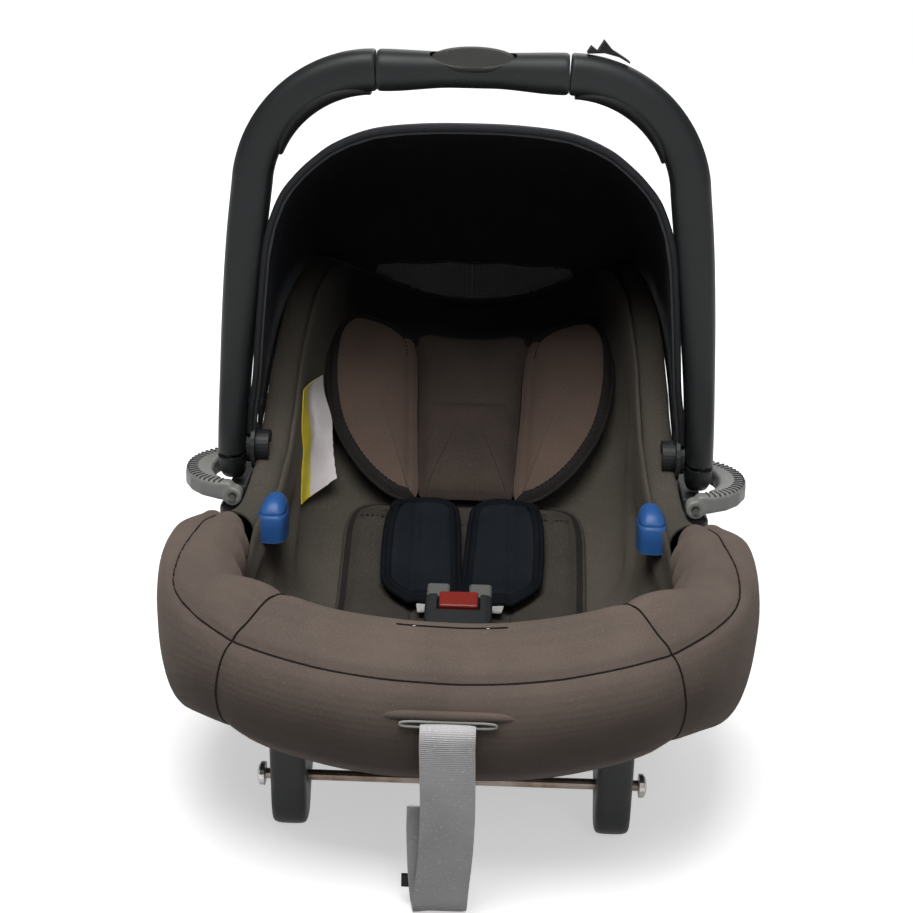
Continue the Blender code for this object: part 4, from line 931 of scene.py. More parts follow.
EAR = [
    (44, 110), (45, 150), (48, 200), (50, 245), (55, 282), (72, 300), (97, 306), (117, 301), (130, 280),
    (133, 246), (130, 206), (120, 167), (101, 136), (80, 116), (60, 106),
]


def on_outer_edge(a, b):
    return abs(a) > 57 or (b < 125 and abs(a) > 45.5)


def headrest_ear(side, word):
    outline = mirrored(closed_curve(EAR, 9), side)

    def base(a, b):
        share = min(1.0, max(0.0, (b - HEADREST_LOW) / (HEADREST_HIGH - HEADREST_LOW)))
        bulge = math.sqrt(max(0.0, 1 - abs(1.76 * share - 0.9) ** 2.2))
        inner = 45.5 + 10 * share
        across = min(1.0, max(0.0, (abs(a) - inner) / (10 + 66 * bulge**0.8)))
        return 26 * across**1.5 * bulge

    def top(d, a, b):
        lump = 0.8 * lumps(a, b, 30, side * 4.0)
        crease = 1.5 * bell(d - 9.0, 1.6)
        return base(a, b) + pillow(d, 21, 5.5, 13.0) + lump * smoothstep(d, 2, 20) - crease

    made, edge, loops = pad(
        f"headrest_ear_{word}", outline, headrest_point, top, base, "headrest", ["ear", "binding"],
        9.0, bound=on_outer_edge,
    )
    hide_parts(f"headrest_wing_{word}")
    tube(f"ear_piping_{word}", edge, 2.0, "headrest", "binding")
    line = [headrest_point(a, b, top(9.0, a, b) + 0.3) for a, b in loops[6][1] if abs(a) > 60]
    stitches(f"ear_stitches_{word}", line, 3.4, 1.2, 0.45, "headrest", "thread")


CENTRE = [
    (0, 108), (26, 108), (42, 112), (45, 150), (47, 200), (50, 250), (57, 285), (44, 297), (22, 294),
    (0, 293), (-22, 294), (-44, 297), (-57, 285), (-50, 250), (-47, 200), (-45, 150), (-42, 112),
    (-26, 108),
]


def headrest_centre():
    outline = closed_curve(CENTRE, 8)

    def top(d, a, b):
        crease = -2.2 * bell(b - 206 - 0.0016 * a * a, 3.0)
        fold = crease + 2.0 * bell(b - 192, 12) + 2.4 * bell(b - 140, 34)
        fan = math.sin((a * (1 + (b - 110) / 260)) / 8.5)
        rays = 0.9 * fan * smoothstep(abs(a), 6, 30) * (1 - smoothstep(b, 170, 205))
        lump = 1.0 * lumps(a, b, 34, 8.0)
        return pillow(d, 16, 3.5, 9.0) + (fold + lump + rays) * smoothstep(d, 3, 12)

    made, edge, _ = pad(
        "headrest_centre", outline, headrest_point, top, lambda a, b: 0.0, "headrest",
        ["centre", "binding"], 6.5, bound=lambda a, b: b > 280,
    )
    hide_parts("headrest_center")
    top_edge = sorted(edge, key=lambda point: point.x)
    tube("centre_piping", top_edge, 1.8, "headrest", "binding")


INSERT = [
    (0, -152), (50, -150), (84, -140), (98, -110), (103, -60), (105, 0), (106, 50), (104, 88), (92, 106),
    (60, 112), (30, 113), (0, 113), (-30, 113), (-60, 112), (-92, 106), (-104, 88), (-106, 50), (-105, 0),
    (-103, -60), (-98, -110), (-84, -140), (-50, -150),
]


def newborn_insert(surface):
    outline = closed_curve(INSERT, 7)

    def where(a, b, h):
        return surface.at(a, b, h)

    def top(d, a, b):
        bolster = 8.5 * smoothstep(abs(a), 44, 74) * (1 - smoothstep(abs(a), 84, 106) * 0.8)
        channel = -2.6 * bell(abs(a) - 42, 3.0) - 3.0 * bell(b - 88, 3.2) - 1.6 * bell(b - 100, 2.4)
        roll = 4.5 * bell(b - 96, 7.0) * smoothstep(abs(a), 20, 50)
        lump = 1.3 * lumps(a, b, 36, 12.0) + 0.7 * lumps(a, b, 15, 14.0)
        return 1.0 + pillow(d, 13, 4.0, 7.0) + (bolster + channel + roll + lump) * smoothstep(d, 3, 14)

    made, edge, _ = pad(
        "seat_insert", outline, where, top, lambda a, b: 0.8, "seat", ["dark", "binding"],
        6.5, 26,
    )
    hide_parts("newborn_insert")
    tube("insert_piping", edge, 1.9, "seat", "dark", closed=True)
    for side, word in SIDES:
        line = [where(side * 42, b, top(30, side * 42, b) + 0.6) for b in np.linspace(-120, 84, 60)]
        stitches(f"insert_stitches_{word}", line, 3.2, 1.4, 0.4, "seat", "thread")
    band = [where(a, 88, top(30, a, 88) + 0.6) for a in np.linspace(-94, 94, 60)]
    stitches("insert_band_stitches", band, 3.2, 1.4, 0.4, "seat", "thread")
    return made


SHOULDER_PAD = [
    (-29, -45), (-31, -12), (-31, 40), (-30, 84), (-27, 98), (-16, 106), (3, 107), (19, 101), (29, 86),
    (33, 52), (33, 12), (31, -14), (25, -31), (13, -41), (-5, -47), (-21, -50),
]


def shoulder_pad(side, word, surface):
    outline = mirrored(closed_curve(SHOULDER_PAD, 9), side)

    def where(a, b, h):
        share = (b + 50) / 156
        return surface.at(a + side * (31 + 6 * share), b, h)

    def top(d, a, b):
        lump = 0.7 * lumps(a, b, 30, 20 + side)
        return 7.4 + pillow(d, 10.5, 5.0, 3.0) + lump * smoothstep(d, 3, 12) - 1.3 * bell(d - 6.5, 1.0)

    made, _, loops = pad(
        f"harness_pad_{word}", outline, where, top, lambda a, b: 7.2, "seat", ["pad", "pad_edge"],
        6.5, 12,
    )
    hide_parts(f"shoulder_pad_{word}")
    middle = [where(a, b, 10.2) for a, b in outline]
    tube(f"pad_binding_{word}", middle, 3.0, "seat", "pad_edge", closed=True, sides=10)
    line = [where(a, b, top(6.5, a, b) + 0.3) for a, b in loops[6][1]]
    stitches(f"pad_stitches_{word}", line + line[:1], 2.6, 1.0, 0.35, "seat", "pad_edge")


# Flat straps


def ribbon(name, points, width, thickness, body, finish, sideways=(1, 0, 0), ripple=0.0):
    """A flat woven strap along the points, with thicker woven edges."""
    across = Vector(sideways)
    lengths = lengths_of(points)
    shares = np.linspace(-1, 1, 13)
    rings, coords = [], []
    for i, point in enumerate(points):
        ahead, behind = neighbours(points, i)
        along = (ahead - behind).normalized()
        face = along.cross(across).normalized()
        flat = face.cross(along).normalized()
        sway = ripple * wobble(point, 40, 31.0)
        ring = []
        for sign in (-1, 1):
            for share in shares * -sign:
                rim = 0.22 * bell(abs(share) - 0.93, 0.05)
                half = thickness / 2 * (0.35 if abs(share) > 0.999 else 1.0) + rim
                bow = sway * share * share
                ring.append(point + flat * (share * width / 2 * MM) + face * ((sign * half + bow) * MM))
                coords.append((share * width / 2 * MM, lengths[i], 0.0))
        rings.append(ring)
    verts, faces = skin(rings, True, True)
    return new_piece(name, verts, faces, body, finish, coords)


def shoulder_strap(side, word, surface):
    points = [surface.at(side * (36 - 15 * t), 90 - 156 * t, 4.4 + 3.0 * t) for t in np.linspace(0, 1, 46)]
    points = [point + (points[max(i - 1, 0)] - point) * 0.5 for i, point in enumerate(points)]
    made = ribbon(
        f"harness_strap_{word}", points, SHOULDER_STRAP_WIDTH, 1.4, "seat", "webbing", ripple=0.8
    )
    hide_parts(f"shoulder_strap_{word}")
    flat = (SHOULDER_STRAP_WIDTH * MM, lengths_of(points)[-1])


def crotch_strap(surface):
    points = [surface.at(0, -160 + 26 * t, 5.5 + 3 * t) for t in np.linspace(0, 1, 14)]
    made = ribbon("crotch_webbing", points, CROTCH_STRAP_WIDTH, 1.8, "seat", "webbing")
    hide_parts("crotch_strap")
    flat = (CROTCH_STRAP_WIDTH * MM, lengths_of(points)[-1])


STRAP_ROUTE = [
    (0, -289, 152), (0, -330, 152), (0, -341, 151.2), (0, -346, 147), (0, -347.5, 138), (0.5, -347, 118),
    (1, -345, 88), (0, -342, 55), (-2, -340, 28), (-3, -338.5, 12), (-3.5, -336, 5.5), (-4, -332.5, 3.4),
    (-5, -329, 5.5), (-6.5, -327, 13), (-8, -326.5, 32), (-9, -328, 62), (-8.5, -331, 84),
]


def adjuster_strap():
    """The free end of the harness adjuster strap: out of its slot, down in front, and back up behind."""
    points = [place(*point) for point in smooth_curve(STRAP_ROUTE, 190)]
    made = ribbon(
        "adjuster_webbing", points, ADJUSTER_STRAP_WIDTH, 1.5, "seat", "webbing", ripple=1.2
    )
    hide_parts("adjuster_strap")
    tab = softened("strap_end", "strap_end_tab", "seat", "grip", "soft_grip", 0.5, 3)
    flat = (ADJUSTER_STRAP_WIDTH * MM, lengths_of(points)[-1])


def slot_trim():
    """The slim ring round the strap's slot, and the fold of cover fabric over it."""
    ring, lip = [], []
    for a in np.linspace(0, 2 * math.pi, 48, endpoint=False):
        x, z = 32 * signed_power(math.cos(a), 0.3), 151.6 + 2.0 * signed_power(math.sin(a), 0.7)
        ring.append(place(x, -338.4, z))
    made = tube("slot_ring", ring, 0.9, "seat", "slot_grey", closed=True)
    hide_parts("strap_bezel")
    for x in np.linspace(-44, 44, 40):
        lip.append(place(x, -336.0 + 0.0022 * x * x, 157.0 - 0.0012 * x * x))
    tube("slot_lip", lip, 3.2, "seat", "cover", sides=12)


# Padded cover round the foot end

COVER_FOOT = [
    (11, -70), (25, -55), (34, -30), (34, -8), (24, 13), (7, 25), (-11, 35), (-21, 34), (-29, 24), (-31, 6),
    (-28, -12),
]
COVER_SIDE = [
    (4, -90), (18, -87), (28, -66), (31, -28), (27, 4), (14, 14), (-6, 15), (-18, 12), (-28, 2), (-32, -12),
    (-29, -26),
]
COVER_END_Y = -84.0
JUNCTION_X = 137.0  # where the front's seams meet the wings'
SEAM_PARAMETER = 4.0  # the place of the long seam in the outline's points
SEAM_LIFT = 0.25  # how far the seams' cords stand off the pad's skin
SLIT_STEPS = 5.0  # half the slit's length, in places along the rim


def foot_share(y):
    """1 round the foot end's middle, 0 along the wings."""
    return smoothstep(-y, 215, 285)


def cover_outline(y, count):
    """The pad's outer outline at a place along the rim: distance out from the rim and height above it."""
    foot, end = foot_share(y), smoothstep(y, -125, COVER_END_Y)
    knots = []
    for (side_n, side_h), (foot_n, foot_h) in zip(COVER_SIDE, COVER_FOOT):
        n, h = side_n + (foot_n - side_n) * foot, side_h + (foot_h - side_h) * foot
        knots.append((n * (1 - 0.35 * end), h * (1 - 0.25 * end)))
    return smooth_curve(knots, count)


def long_seam(y):
    """The long seam's place in the outline, along the rim: it climbs towards the wings' ends."""
    return SEAM_PARAMETER + 1.5 * smoothstep(y, -290, -120)


def cross_seam_x(param):
    """Where the seams across the corners lie along the rim, at a place in the outline."""
    return JUNCTION_X + 2.2 * max(0.0, SEAM_PARAMETER - param) - 3.5 * max(0.0, param - SEAM_PARAMETER)


def seam_dips(param, rim_x, y):
    """How deep the long seam and the seams across it at the corners draw the pad in, in millimetres."""
    to_long = (param - long_seam(y)) * 21.0
    to_cross = (abs(rim_x) - cross_seam_x(param)) * 1.25 if y < -200 else 99.0
    wide = 2.1 * bell(to_long, 8.5) + 2.4 * bell(to_cross, 9.0)
    return wide + 1.2 * bell(to_long, 2.5) + 1.2 * bell(to_cross, 2.5)


def cover_point(x, y, z, nx, ny, n, h, param, rim_x):
    """A point of the pad's skin, with the seams' dips, a soft fullness and small wrinkles."""
    point = place(x + nx * n, y + ny * n, z + h)
    out = Vector((nx, ny, 0)) * n + Vector((0, 0, 1)) * (h + 24)
    out.normalize()
    dip = seam_dips(param, rim_x, y)
    full = 1.3 * wobble(point, 95, 41.0) + 0.55 * wobble(point, 30, 43.0)
    pleat = 0.0
    if param > 7.2 and y > -262:
        pleat = 2.3 * math.sin(y / 6.4 + 2.0 * wobble(point, 60, 45.0)) * smoothstep(param, 7.2, 9.0)
    return point + out * (full - dip + pleat) * MM


def front_cover():
    """The thick stitched pad hooked over the shell's rim, with its seams."""
    loop, normal = rim_curve(150)
    count = len(loop)
    picked = [j for j in range(-150, 150) if loop[j % count][1] < COVER_END_Y]
    outline_steps = 64
    params = np.linspace(0, 10, outline_steps + 1)
    rings = []
    for j in picked:
        (x, y, z), (nx, ny) = loop[j % count], normal[j % count]
        outline = cover_outline(y, outline_steps)
        ring = [cover_point(x, y, z, nx, ny, n, h, p, x) for (n, h), p in zip(outline, params)]
        wing = 1 - foot_share(y)
        hook = [(-22, -17 - 10 * wing), (-7.2, 2.2), (2.2, 2.2), (2.2, -62 - 26 * wing)]
        ring += [place(x + nx * n, y + ny * n, z + h) for n, h in hook]
        rings.append(ring)
    rings = domed_ends(rings)
    made = lofted("front_pad", rings, "seat", "cover")
    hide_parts("front_cover")
    add_cover_seams(loop, normal, picked)
    return made


def domed_ends(rings):
    """Closes both ends of the pad with rounded ends that draw in to their middle."""
    made = list(rings)
    for at_end in (False, True):
        last = made[-1] if at_end else made[0]
        before = made[-3] if at_end else made[2]
        middle = sum(last, Vector()) / len(last)
        outward = (middle - sum(before, Vector()) / len(before)).normalized()
        for turn in np.radians((18, 36, 54, 70, 84)):
            share = math.cos(turn) ** 0.8
            ring = [middle + (p - middle) * share + outward * 9.0 * math.sin(turn) * MM for p in last]
            made = made + [ring] if at_end else [ring] + made
    return made


def on_cover(loop, normal, j, param, lift):
    """A point a little above the pad's skin at one place along the rim and one in the outline."""
    (x, y, z), (nx, ny) = loop[j % len(loop)], normal[j % len(loop)]
    outline = cover_outline(y, 40)
    run = param / 10 * 40
    i = min(int(run), 39)
    n, h = outline[i] + (outline[i + 1] - outline[i]) * (run - i)
    point = cover_point(x, y, z, nx, ny, n, h, param, x)
    return point + (Vector((nx * n, ny * n, h + 24)).normalized()) * lift * MM


def seam_cord(name, points, radius=0.75):
    tube(name, points, radius, "seat", "thread", sides=6)


def add_cover_seams(loop, normal, picked):
    """Dark seam cords in the pad's dips, the stitched slit on top, and its two bar tacks."""
    long_line = []
    for j in picked[2:-2]:
        y = loop[j % len(loop)][1]
        long_line.append(on_cover(loop, normal, j, long_seam(y), SEAM_LIFT))
    seam_cord("long_seam", long_line)
    lower = np.linspace(0.1, SEAM_PARAMETER, 26)
    upper = np.linspace(SEAM_PARAMETER, 9.6, 36)
    foot = [j for j in picked if loop[j % len(loop)][1] <= -220]
    for side, word in SIDES:
        near = min(foot, key=lambda j: abs(loop[j % len(loop)][0] - side * JUNCTION_X)) - side * 12
        for label, params in (("lower", lower), ("upper", upper)):
            line = []
            for param in params:
                line.append(seam_crossing(loop, normal, side * cross_seam_x(param), near, param))
            seam_cord(f"{label}_seam_{word}", line)
    slit = [cover_spot(loop, normal, j, 6.0, 0.3) for j in np.linspace(-SLIT_STEPS, SLIT_STEPS, 30)]
    seam_cord("top_slit", slit, 0.6)
    for side, word in SIDES:
        tack = [cover_spot(loop, normal, side * SLIT_STEPS * 0.66 + k, 5.95, 0.6) for k in (-0.25, 0.25)]
        stitches(f"bar_tack_{word}", tack, 2.2, 0.2, 0.5, "seat", "white_thread")


def cover_spot(loop, normal, j, param, lift):
    """on_cover() between two places along the rim."""
    low = math.floor(j)
    here, there = (on_cover(loop, normal, k, param, lift) for k in (low, low + 1))
    return here.lerp(there, j - low)


def seam_crossing(loop, normal, target_x, start, param):
    """The pad's point where the rim is at target_x, near index start, between two places of the rim."""
    best = min(range(start - 30, start + 30), key=lambda j: abs(loop[j % len(loop)][0] - target_x))
    here = loop[best % len(loop)][0]
    step = 1 if (loop[(best + 1) % len(loop)][0] - here) * (target_x - here) > 0 else -1
    beyond = loop[(best + step) % len(loop)][0]
    share = 0.0 if abs(beyond - here) < 1e-6 else (target_x - here) / (beyond - here)
    nearest, next_to_it = (on_cover(loop, normal, k, param, SEAM_LIFT) for k in (best, best + step))
    return nearest.lerp(next_to_it, share)


# Hood

BOW = [
    (180, 14), (178.6, 32), (174, 62), (171, 97), (167.5, 134), (162, 178), (151, 210), (138, 228),
    (122, 243), (105, 254.5), (77, 265), (40, 269.5), (0, 270.5),
]
HEM_START_Y, HEM_DROP, HEM_OUT = 22.0, 12.0, 8.0
RIM_FINE = smooth_curve(RIM, 240, True, True)
BOW_FINE = smooth_curve(BOW[1:], 120, False, True)
HEM_FINE = RIM_FINE[RIM_FINE[:, 1] > HEM_START_Y]


def along(curve, share):
    run = share * (len(curve) - 1)
    i = min(int(run), len(curve) - 2)
    return curve[i] + (curve[i + 1] - curve[i]) * (run - i)


def hood_hem(share):
    x, y, z = along(HEM_FINE, share)
    ahead, behind = along(HEM_FINE, min(1.0, share + 0.01)), along(HEM_FINE, max(0.0, share - 0.01))
    tx, ty = (ahead - behind)[:2]
    size = math.hypot(tx, ty)
    return x + ty / size * HEM_OUT, y - tx / size * HEM_OUT, z - HEM_DROP


def hood_point(share, f):
    """A point of the hood's +X half in millimetres: share round the hem or bow, f from bow to hem."""
    x, r = along(BOW_FINE, share)
    hx, hy, hz = hood_hem(share)
    start, end = math.atan2(r, 2.5), math.atan2(hz - HINGE_Z, hy)
    angle = start + (end - start) * f
    blend = smoothstep(f, 0.0, 1.0)
    radius = r + (math.hypot(hy, hz - HINGE_Z) - r) * blend
    slack = 2.2 * math.sin(math.pi * f) * noise.noise(Vector((share * 9.0, f * 5.0, 1.7)))
    folds = 1.4 * math.sin(math.pi * f) * math.sin(18 * share + 3 * f) * (1 - share) ** 0.5
    radius += slack + folds
    return x - 1.5 + (hx - x + 1.5) * blend, radius * math.cos(angle), HINGE_Z + radius * math.sin(angle)


def both_sides(half):
    """A line on the +X side that ends at the middle, and its mirror image, as points in metres."""
    return [place(*point) for point in half] + [place(-x, y, z) for x, y, z in half[-2::-1]]


def hood_sheet(name, finish):
    rows = []
    for f in np.linspace(0, 1, 61):
        rows.append(both_sides([hood_point(share, f) for share in np.linspace(0, 1, 91)]))
    verts, faces = skin(rows, False)
    sheet = new_piece(name, verts, faces, None, finish, flat_coordinates(rows))
    return thicken(sheet, 1.4, 0.0)


def vent_outline(grow):
    """The vent seen from the front: a flat top with round corners over a bottom that follows the rim."""
    half = RIM_FINE[::-1]
    wide = 100.0 + grow
    right = []
    for x in np.linspace(0, wide, 24):
        rim_z = np.interp(x, half[:80, 0], half[:80, 2])
        right.append((x, min(rim_z + 5.0 - grow, 322 + grow)))
    for x, z in ((wide - 6, 325), (wide * 0.75, 326), (wide * 0.5, 326.5), (wide * 0.25, 327), (0, 327)):
        right.append((x, z + grow))
    return right + [(-x, z) for x, z in right[-2:0:-1]]


def prism(name, outline, near_y, far_y):
    """A closed block with an outline in x and z, for cutting."""
    rings = [[place(x, y, z) for x, z in outline] for y in (near_y, far_y)]
    return block(name, *skin(rings, True, True))


def block(name, verts, faces):
    mesh = bpy.data.meshes.new(name)
    mesh.from_pydata([tuple(v) for v in verts], [], faces)
    made = bpy.data.objects.new(name, mesh)
    bpy.context.scene.collection.objects.link(made)
    facing_out(made)
    return made


def trim(obj, operation, cutter):
    step = obj.modifiers.new("trim", "BOOLEAN")
    step.operation = operation
    step.solver = "EXACT"
    step.object = cutter
    bake(obj)
    bpy.data.objects.remove(cutter)


def hood():
    """The hood's cloth, its window of net, and the taped edge on its bow."""
    cloth = hood_sheet("hood_cloth", "hood")
    window = hood_sheet("hood_window", "net")
    trim(cloth, "DIFFERENCE", prism("vent_cutter", vent_outline(0.0), 150, 330))
    trim(window, "INTERSECT", prism("window_cutter", vent_outline(0.6), 150, 330))
    hem = both_sides([hood_hem(share) for share in np.linspace(0, 1, 91)])
    piping = tube("hood_hem", hem, 2.2, None, "hood_edge")
    round_window = [hood_surface_point(x, z) for x, z in vent_outline(0.5)]
    welt = tube("window_welt", round_window, 1.5, None, "hood_edge", closed=True)
    for piece in (cloth, window, piping, welt):
        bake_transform(piece)
    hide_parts("canopy_fabric")
    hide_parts("vent_window")
    hood_edge()


def hood_surface_point(x, z):
    """The point of the hood's skin at the head end that lies nearest x and z, seen from the front."""
    best, found = 1e9, None
    for share in np.linspace(0.55, 1, 60):
        for f in np.linspace(0.5, 1, 60):
            px, py, pz = hood_point(share, f)
            off = (px - abs(x)) ** 2 + (pz - z) ** 2
            if off < best:
                best, found = off, (px, py, pz)
    return place(math.copysign(found[0], x), found[1], found[2])


def hood_edge():
    """The taped channel of cloth that the bow runs in, along the hood's front edge."""
    half = smooth_curve(BOW, 90, False, True)
    profile = np.vstack([half, (half[:-1] * np.array([-1, 1]))[::-1]])
    corners = [
        (0.9, -11.2), (1.6, -6), (1.5, -1), (0.8, 3.4), (-3.4, 3.4), (-4.2, -1), (-4.4, -6), (-3.6, -11.2),
    ]
    section = closed_curve(corners, 3)
    rings = []
    for i, (x, r) in enumerate(profile):
        ahead, behind = neighbours(profile, i)
        tx, tr = ahead[0] - behind[0], ahead[1] - behind[1]
        size = math.hypot(tx, tr)
        nx, nr = -tr / size, tx / size
        rings.append([place(x + nx * depth, y, HINGE_Z + r + nr * depth) for depth, y in section])
    made = lofted("hood_edge", rings, "hood_bow", "hood_edge")


# Carry handle

ARCH_TOP_Z, ARCH_FLAT_X, ARCH_RADIUS, GRIP_SEAM_X = 536.0, 76.0, 100.0, 75.0


def arch_path():
    """Centre points of the handle's arch from the grip seam to the hinge on the +X side, x and z."""
    corner = []
    for a in np.radians(np.linspace(84, 4, 12)):
        z = ARCH_TOP_Z - ARCH_RADIUS + ARCH_RADIUS * math.sin(a)
        corner.append((ARCH_FLAT_X + ARCH_RADIUS * math.cos(a), z))
    arm = [(181.5, 400), (187, 352), (191.5, 306), (195, 262), (197, HINGE_Z)]
    return smooth_curve([(ARCH_FLAT_X, ARCH_TOP_Z)] + corner + arm, 120)


def superellipse(count, power):
    made = []
    for a in np.linspace(0, 2 * math.pi, count, endpoint=False):
        made.append((signed_power(math.cos(a), power), signed_power(math.sin(a), power)))
    return made


def arch_frames():
    """For each centre point: x, z, the section's inward normal and its half-thickness and half-depth."""
    path = arch_path()
    made = []
    for i, (x, z) in enumerate(path):
        ahead, behind = neighbours(path, i)
        tx, tz = ahead[0] - behind[0], ahead[1] - behind[1]
        size = math.hypot(tx, tz)
        thick = 11.8 + 4.2 * smoothstep(z, HINGE_Z, 430)
        deep = 17 + 9.5 * (1 - smoothstep(z, HINGE_Z + 8, HINGE_Z + 75))
        made.append((x, z, tz / size, -tx / size, thick, deep))
    return made


def handle_arm(side, word):
    """One arm of the handle, with shallow grooves along its faces and a rounded foot."""
    unit = superellipse(44, 0.68)
    rings = []
    frames = arch_frames()
    for i, (x, z, nx, nz, thick, deep) in enumerate(frames):
        trim_in = 1.0 if i == 0 else 0.0
        out, half = thick - trim_in, deep - trim_in
        ring = []
        for c, s in unit:
            groove = 0.5 * bell(abs(s) - 0.62, 0.05) * smoothstep(i, 4, 12)
            ring.append(place(side * (x + nx * (out - groove) * c), (half - groove) * s, z + nz * out * c))
        rings.append(ring)
    x, z = frames[-1][:2]
    for turn in np.radians(np.linspace(8, 88, 14)):
        drop, deep = 28 * math.sin(turn), 26.5 * math.cos(turn)
        thick = 11.8 * (1 - 0.45 * math.sin(turn) ** 4)
        rings.append([place(side * (x + thick * c), deep * s, z - drop) for c, s in unit])
    made = lofted(f"arm_{word}", rings, "handle", "handle")
    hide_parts(f"handle_arm_{word}")


def grip_sleeve(side, word):
    """The soft sleeve round the outside of the handle's corner, rounded off at its edges."""
    frames = arch_frames()[3:66]
    rings = []
    for i, (x, z, nx, nz, thick, _) in enumerate(frames):
        share = i / (len(frames) - 1)
        wrap = 64 * math.sin(math.pi * min(0.985, max(0.015, share))) ** 0.32
        ring = []
        for outer, angles in ((False, np.linspace(-wrap, wrap, 25)), (True, np.linspace(wrap, -wrap, 25))):
            for a in np.radians(angles):
                edge = abs(math.degrees(a)) / max(wrap, 1)
                radius = 2.3 * max(0.0, 1 - edge**10) ** 0.5 + 0.4 if outer else -0.6
                out = (thick + radius) * signed_power(math.cos(a), 0.68)
                across = (17 + radius) * signed_power(math.sin(a), 0.68)
                ring.append(place(side * (x + nx * out), across, z + nz * out))
        rings.append(ring)
    made = lofted(f"grip_sleeve_{word}", rings, "handle", "grip")
    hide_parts(f"grip_inlay_{word}")


def handle_grip():
    unit = superellipse(44, 0.8)
    rings = []
    for x in np.linspace(-GRIP_SEAM_X + 0.4, GRIP_SEAM_X - 0.4, 91):
        swell = smoothstep(abs(x), 15, 70)
        trim_in = 1.3 * smoothstep(abs(x), GRIP_SEAM_X - 2.6, GRIP_SEAM_X - 0.4)
        tall, deep = 13.5 + 2.5 * swell - trim_in, 16 + 1.5 * swell - trim_in
        rings.append([place(x, deep * s, ARCH_TOP_Z + 1.2 * (1 - swell) + tall * c) for c, s in unit])
    made = lofted("grip", rings, "handle", "handle")
    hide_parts("handle_grip")
    return made


def oval_rings(levels):
    """Rings of the oval on the grip, from levels of height and of share of the oval's half-axes."""
    lean = math.radians(32)
    seat_y, seat_z = -7.0 * math.sin(lean), ARCH_TOP_Z + 11.5 * math.cos(lean) - 2.2
    rings = []
    for level, share in levels:
        ring = []
        for a in np.linspace(0, 2 * math.pi, 72, endpoint=False):
            v = 14.0 * share * math.sin(a)
            y = seat_y + v * math.cos(lean) - level * math.sin(lean)
            z = seat_z + v * math.sin(lean) + level * math.cos(lean)
            ring.append(place(33.0 * share * math.cos(a), y, z))
        rings.append(ring)
    return rings


def grip_badge(grip):
    """The plain oval disc in its pocket on the grip, with a raised rim round a sunk face."""
    verts, faces = skin(oval_rings([(1.0, 1.03), (30.0, 1.03)]), True, True)
    pocket = block("badge_pocket", verts, faces)
    trim(grip, "DIFFERENCE", pocket)
    levels = [
        (0, 1.0), (3.4, 1.0), (4.4, 0.985), (5.0, 0.95), (5.0, 0.91), (4.5, 0.88), (4.4, 0.84), (4.6, 0.4),
    ]
    made = lofted("grip_disc", oval_rings(levels), "handle", "badge")
    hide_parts("grip_badge")


# Moulded parts that keep their CAD shape, with moulded edges or a better finish

SOFTENED = [
    ("rail", "stand_rail", "seat", "shell", "black_plastic", 2.4, 26),
    ("adapter", "adapter_housing", "seat", "shell", "black_plastic", 1.4, 5),
    ("paddle", "release_lever", "lever", "grey", "grey_plastic", 1.1, 5),
]
KEPT = {
    "foam": ["foam_liner"],
    "grip": ["handle_release", "adjuster_button"],
    "flat_black": ["headrest_board", "adjuster_housing", "canopy_bow", "handle_hub_left", "handle_hub_right"],
    "flat_grey": ["buckle_tongue_left", "buckle_tongue_right"],
    "red": ["buckle_button", "latch_bolt_left", "latch_bolt_right"],
    "steel": ["front_latch_bar", "rear_latch_bar"],
    "cap_steel": [
        "front_bar_cap_left", "front_bar_cap_right", "rear_bar_cap_left", "rear_bar_cap_right",
        "handle_pin_left", "handle_pin_right", "lever_pin_left", "lever_pin_right",
    ],
}


def soften_parts():
    for name, node, body, *rest in SOFTENED:
        for _, word in SIDES:
            rides = body if body == "seat" else f"{body}_{word}"
            softened(f"{name}_{word}", f"{node}_{word}", rides, *rest)
    softened("back_guide", "rear_belt_guide", "seat", "blue", "blue_plastic", 1.5, 4)
    softened("buckle_body", "harness_buckle", "seat", "shell", "black_plastic", 0.8, 5)


def finish_kept_nodes():
    for finish, nodes in KEPT.items():
        for node in nodes:
            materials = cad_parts[node].data.materials
            for i in range(len(materials)):
                materials[i] = FINISH[finish]
            if not materials:
                materials.append(FINISH[finish])


def belt_guide(side, word):
    """The rounded guide for the vehicle's lap belt, with a groove round it."""
    unit = superellipse(36, 0.62)
    rings = []
    for t in np.linspace(0, 1, 40):
        z = 165.5 + 34.0 * t
        cap = math.sqrt(max(0.0, 1 - max(0.0, (t - 0.3) / 0.7) ** 2.6))
        notch = 0.9 * bell(t - 0.66, 0.03)
        wide, deep = (12.5 - notch) * max(cap, 0.04), (18.5 - notch) * max(cap, 0.04) ** 0.7
        lean = 5.0 * t * t
        x, y = 156 - lean * 0.4, -60.5 + lean
        rings.append([place(side * (x + wide * c), y + deep * s, z) for c, s in unit])
    made = lofted(f"guide_{word}", rings, "seat", "blue")
    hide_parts(f"belt_guide_{word}")


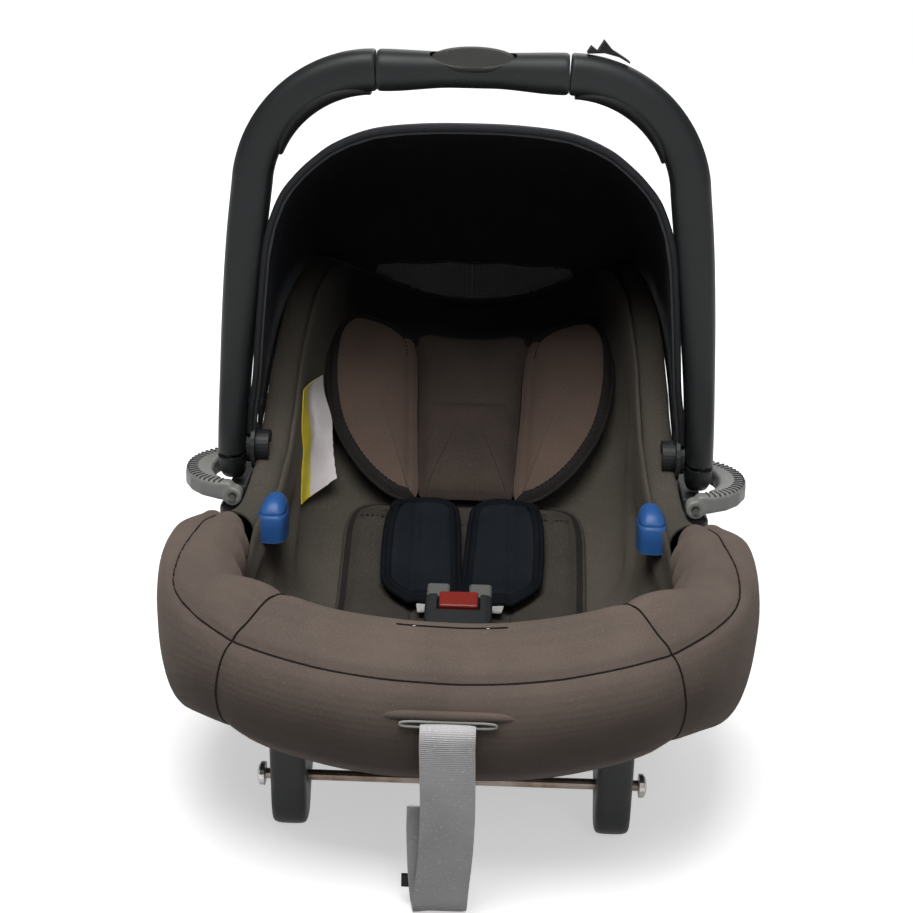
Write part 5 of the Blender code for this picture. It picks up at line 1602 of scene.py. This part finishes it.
def lever_ribs(side, word):
    """Raised finger ribs across the outer part of the release lever."""
    verts, faces = [], []
    for angle in np.linspace(-76, 76, 25):
        a = math.radians(angle)
        rings = []
        for radius in (37, 38, 45.5, 46.5):
            low, high = 198.0, 199.7 if 37.5 < radius < 46 else 199.1
            cx, cy = 194 + radius * math.cos(a), 17 + radius * 1.04 * math.sin(a)
            tx, ty = -math.sin(a) * 0.8, math.cos(a) * 0.8
            corners = ((1, low), (0.7, high), (-0.7, high), (-1, low))
            rings.append([place(side * (cx + tx * k), cy + ty * k, z) for k, z in corners])
        add_skin(verts, faces, rings)
    new_piece(f"lever_ribs_{word}", verts, faces, f"lever_{word}", "shell")


def side_label(surface):
    """A blank two-tone tab sewn to the lining's left inner wall."""
    lower, upper, indices = [], [], []
    rows, columns = 34, 15
    for z in np.linspace(160, 248, rows):
        low_row, high_row = [], []
        for share in np.linspace(0, 1, columns):
            y = 30 + 46 * share
            start = place(0, y + (z - 172) * 0.62, z)
            hit, normal = surface.tree.ray_cast(start, Vector((-1, 0, 0)))[:2]
            off = normal if normal.x > 0 else -normal
            curl = 0.8 * wobble(start, 30, 51.0) + (18.0 - 11.0 * smoothstep(z, 205, 248)) * share**1.4
            low_row.append(hit + off * (0.5 + max(0.0, curl)) * MM)
            high_row.append(hit + off * (1.5 + max(0.0, curl)) * MM)
        lower.append(low_row)
        upper.append(high_row)
    rings = [low + high[::-1] for low, high in zip(lower, upper)]
    for _ in range(rows - 1):
        for j in range(2 * columns):
            column = j if j < columns else 2 * columns - 1 - j
            indices.append(0 if column < columns * 0.4 else 1)
    indices += [0, 0]
    made = lofted("side_tab", rings, "seat", ["tab_yellow", "tab_white"], indices=indices)
    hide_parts("side_label")


def build():
    add_camera()
    add_stage()
    seat_shell()
    lined = lining()
    rim_flap()
    surface = SeatSurface()
    surface.add(lined)
    side_label(surface)
    surface.add(newborn_insert(surface))
    for side, word in SIDES:
        shoulder_strap(side, word, surface)
        shoulder_pad(side, word, surface)
    crotch_strap(surface)
    front_cover()
    headrest_centre()
    for side, word in SIDES:
        headrest_ear(side, word)
    adjuster_strap()
    slot_trim()
    hood()
    for side, word in SIDES:
        handle_arm(side, word)
        grip_sleeve(side, word)
        lever_ribs(side, word)
        belt_guide(side, word)
    grip_badge(handle_grip())
    soften_parts()
    finish_kept_nodes()


build()
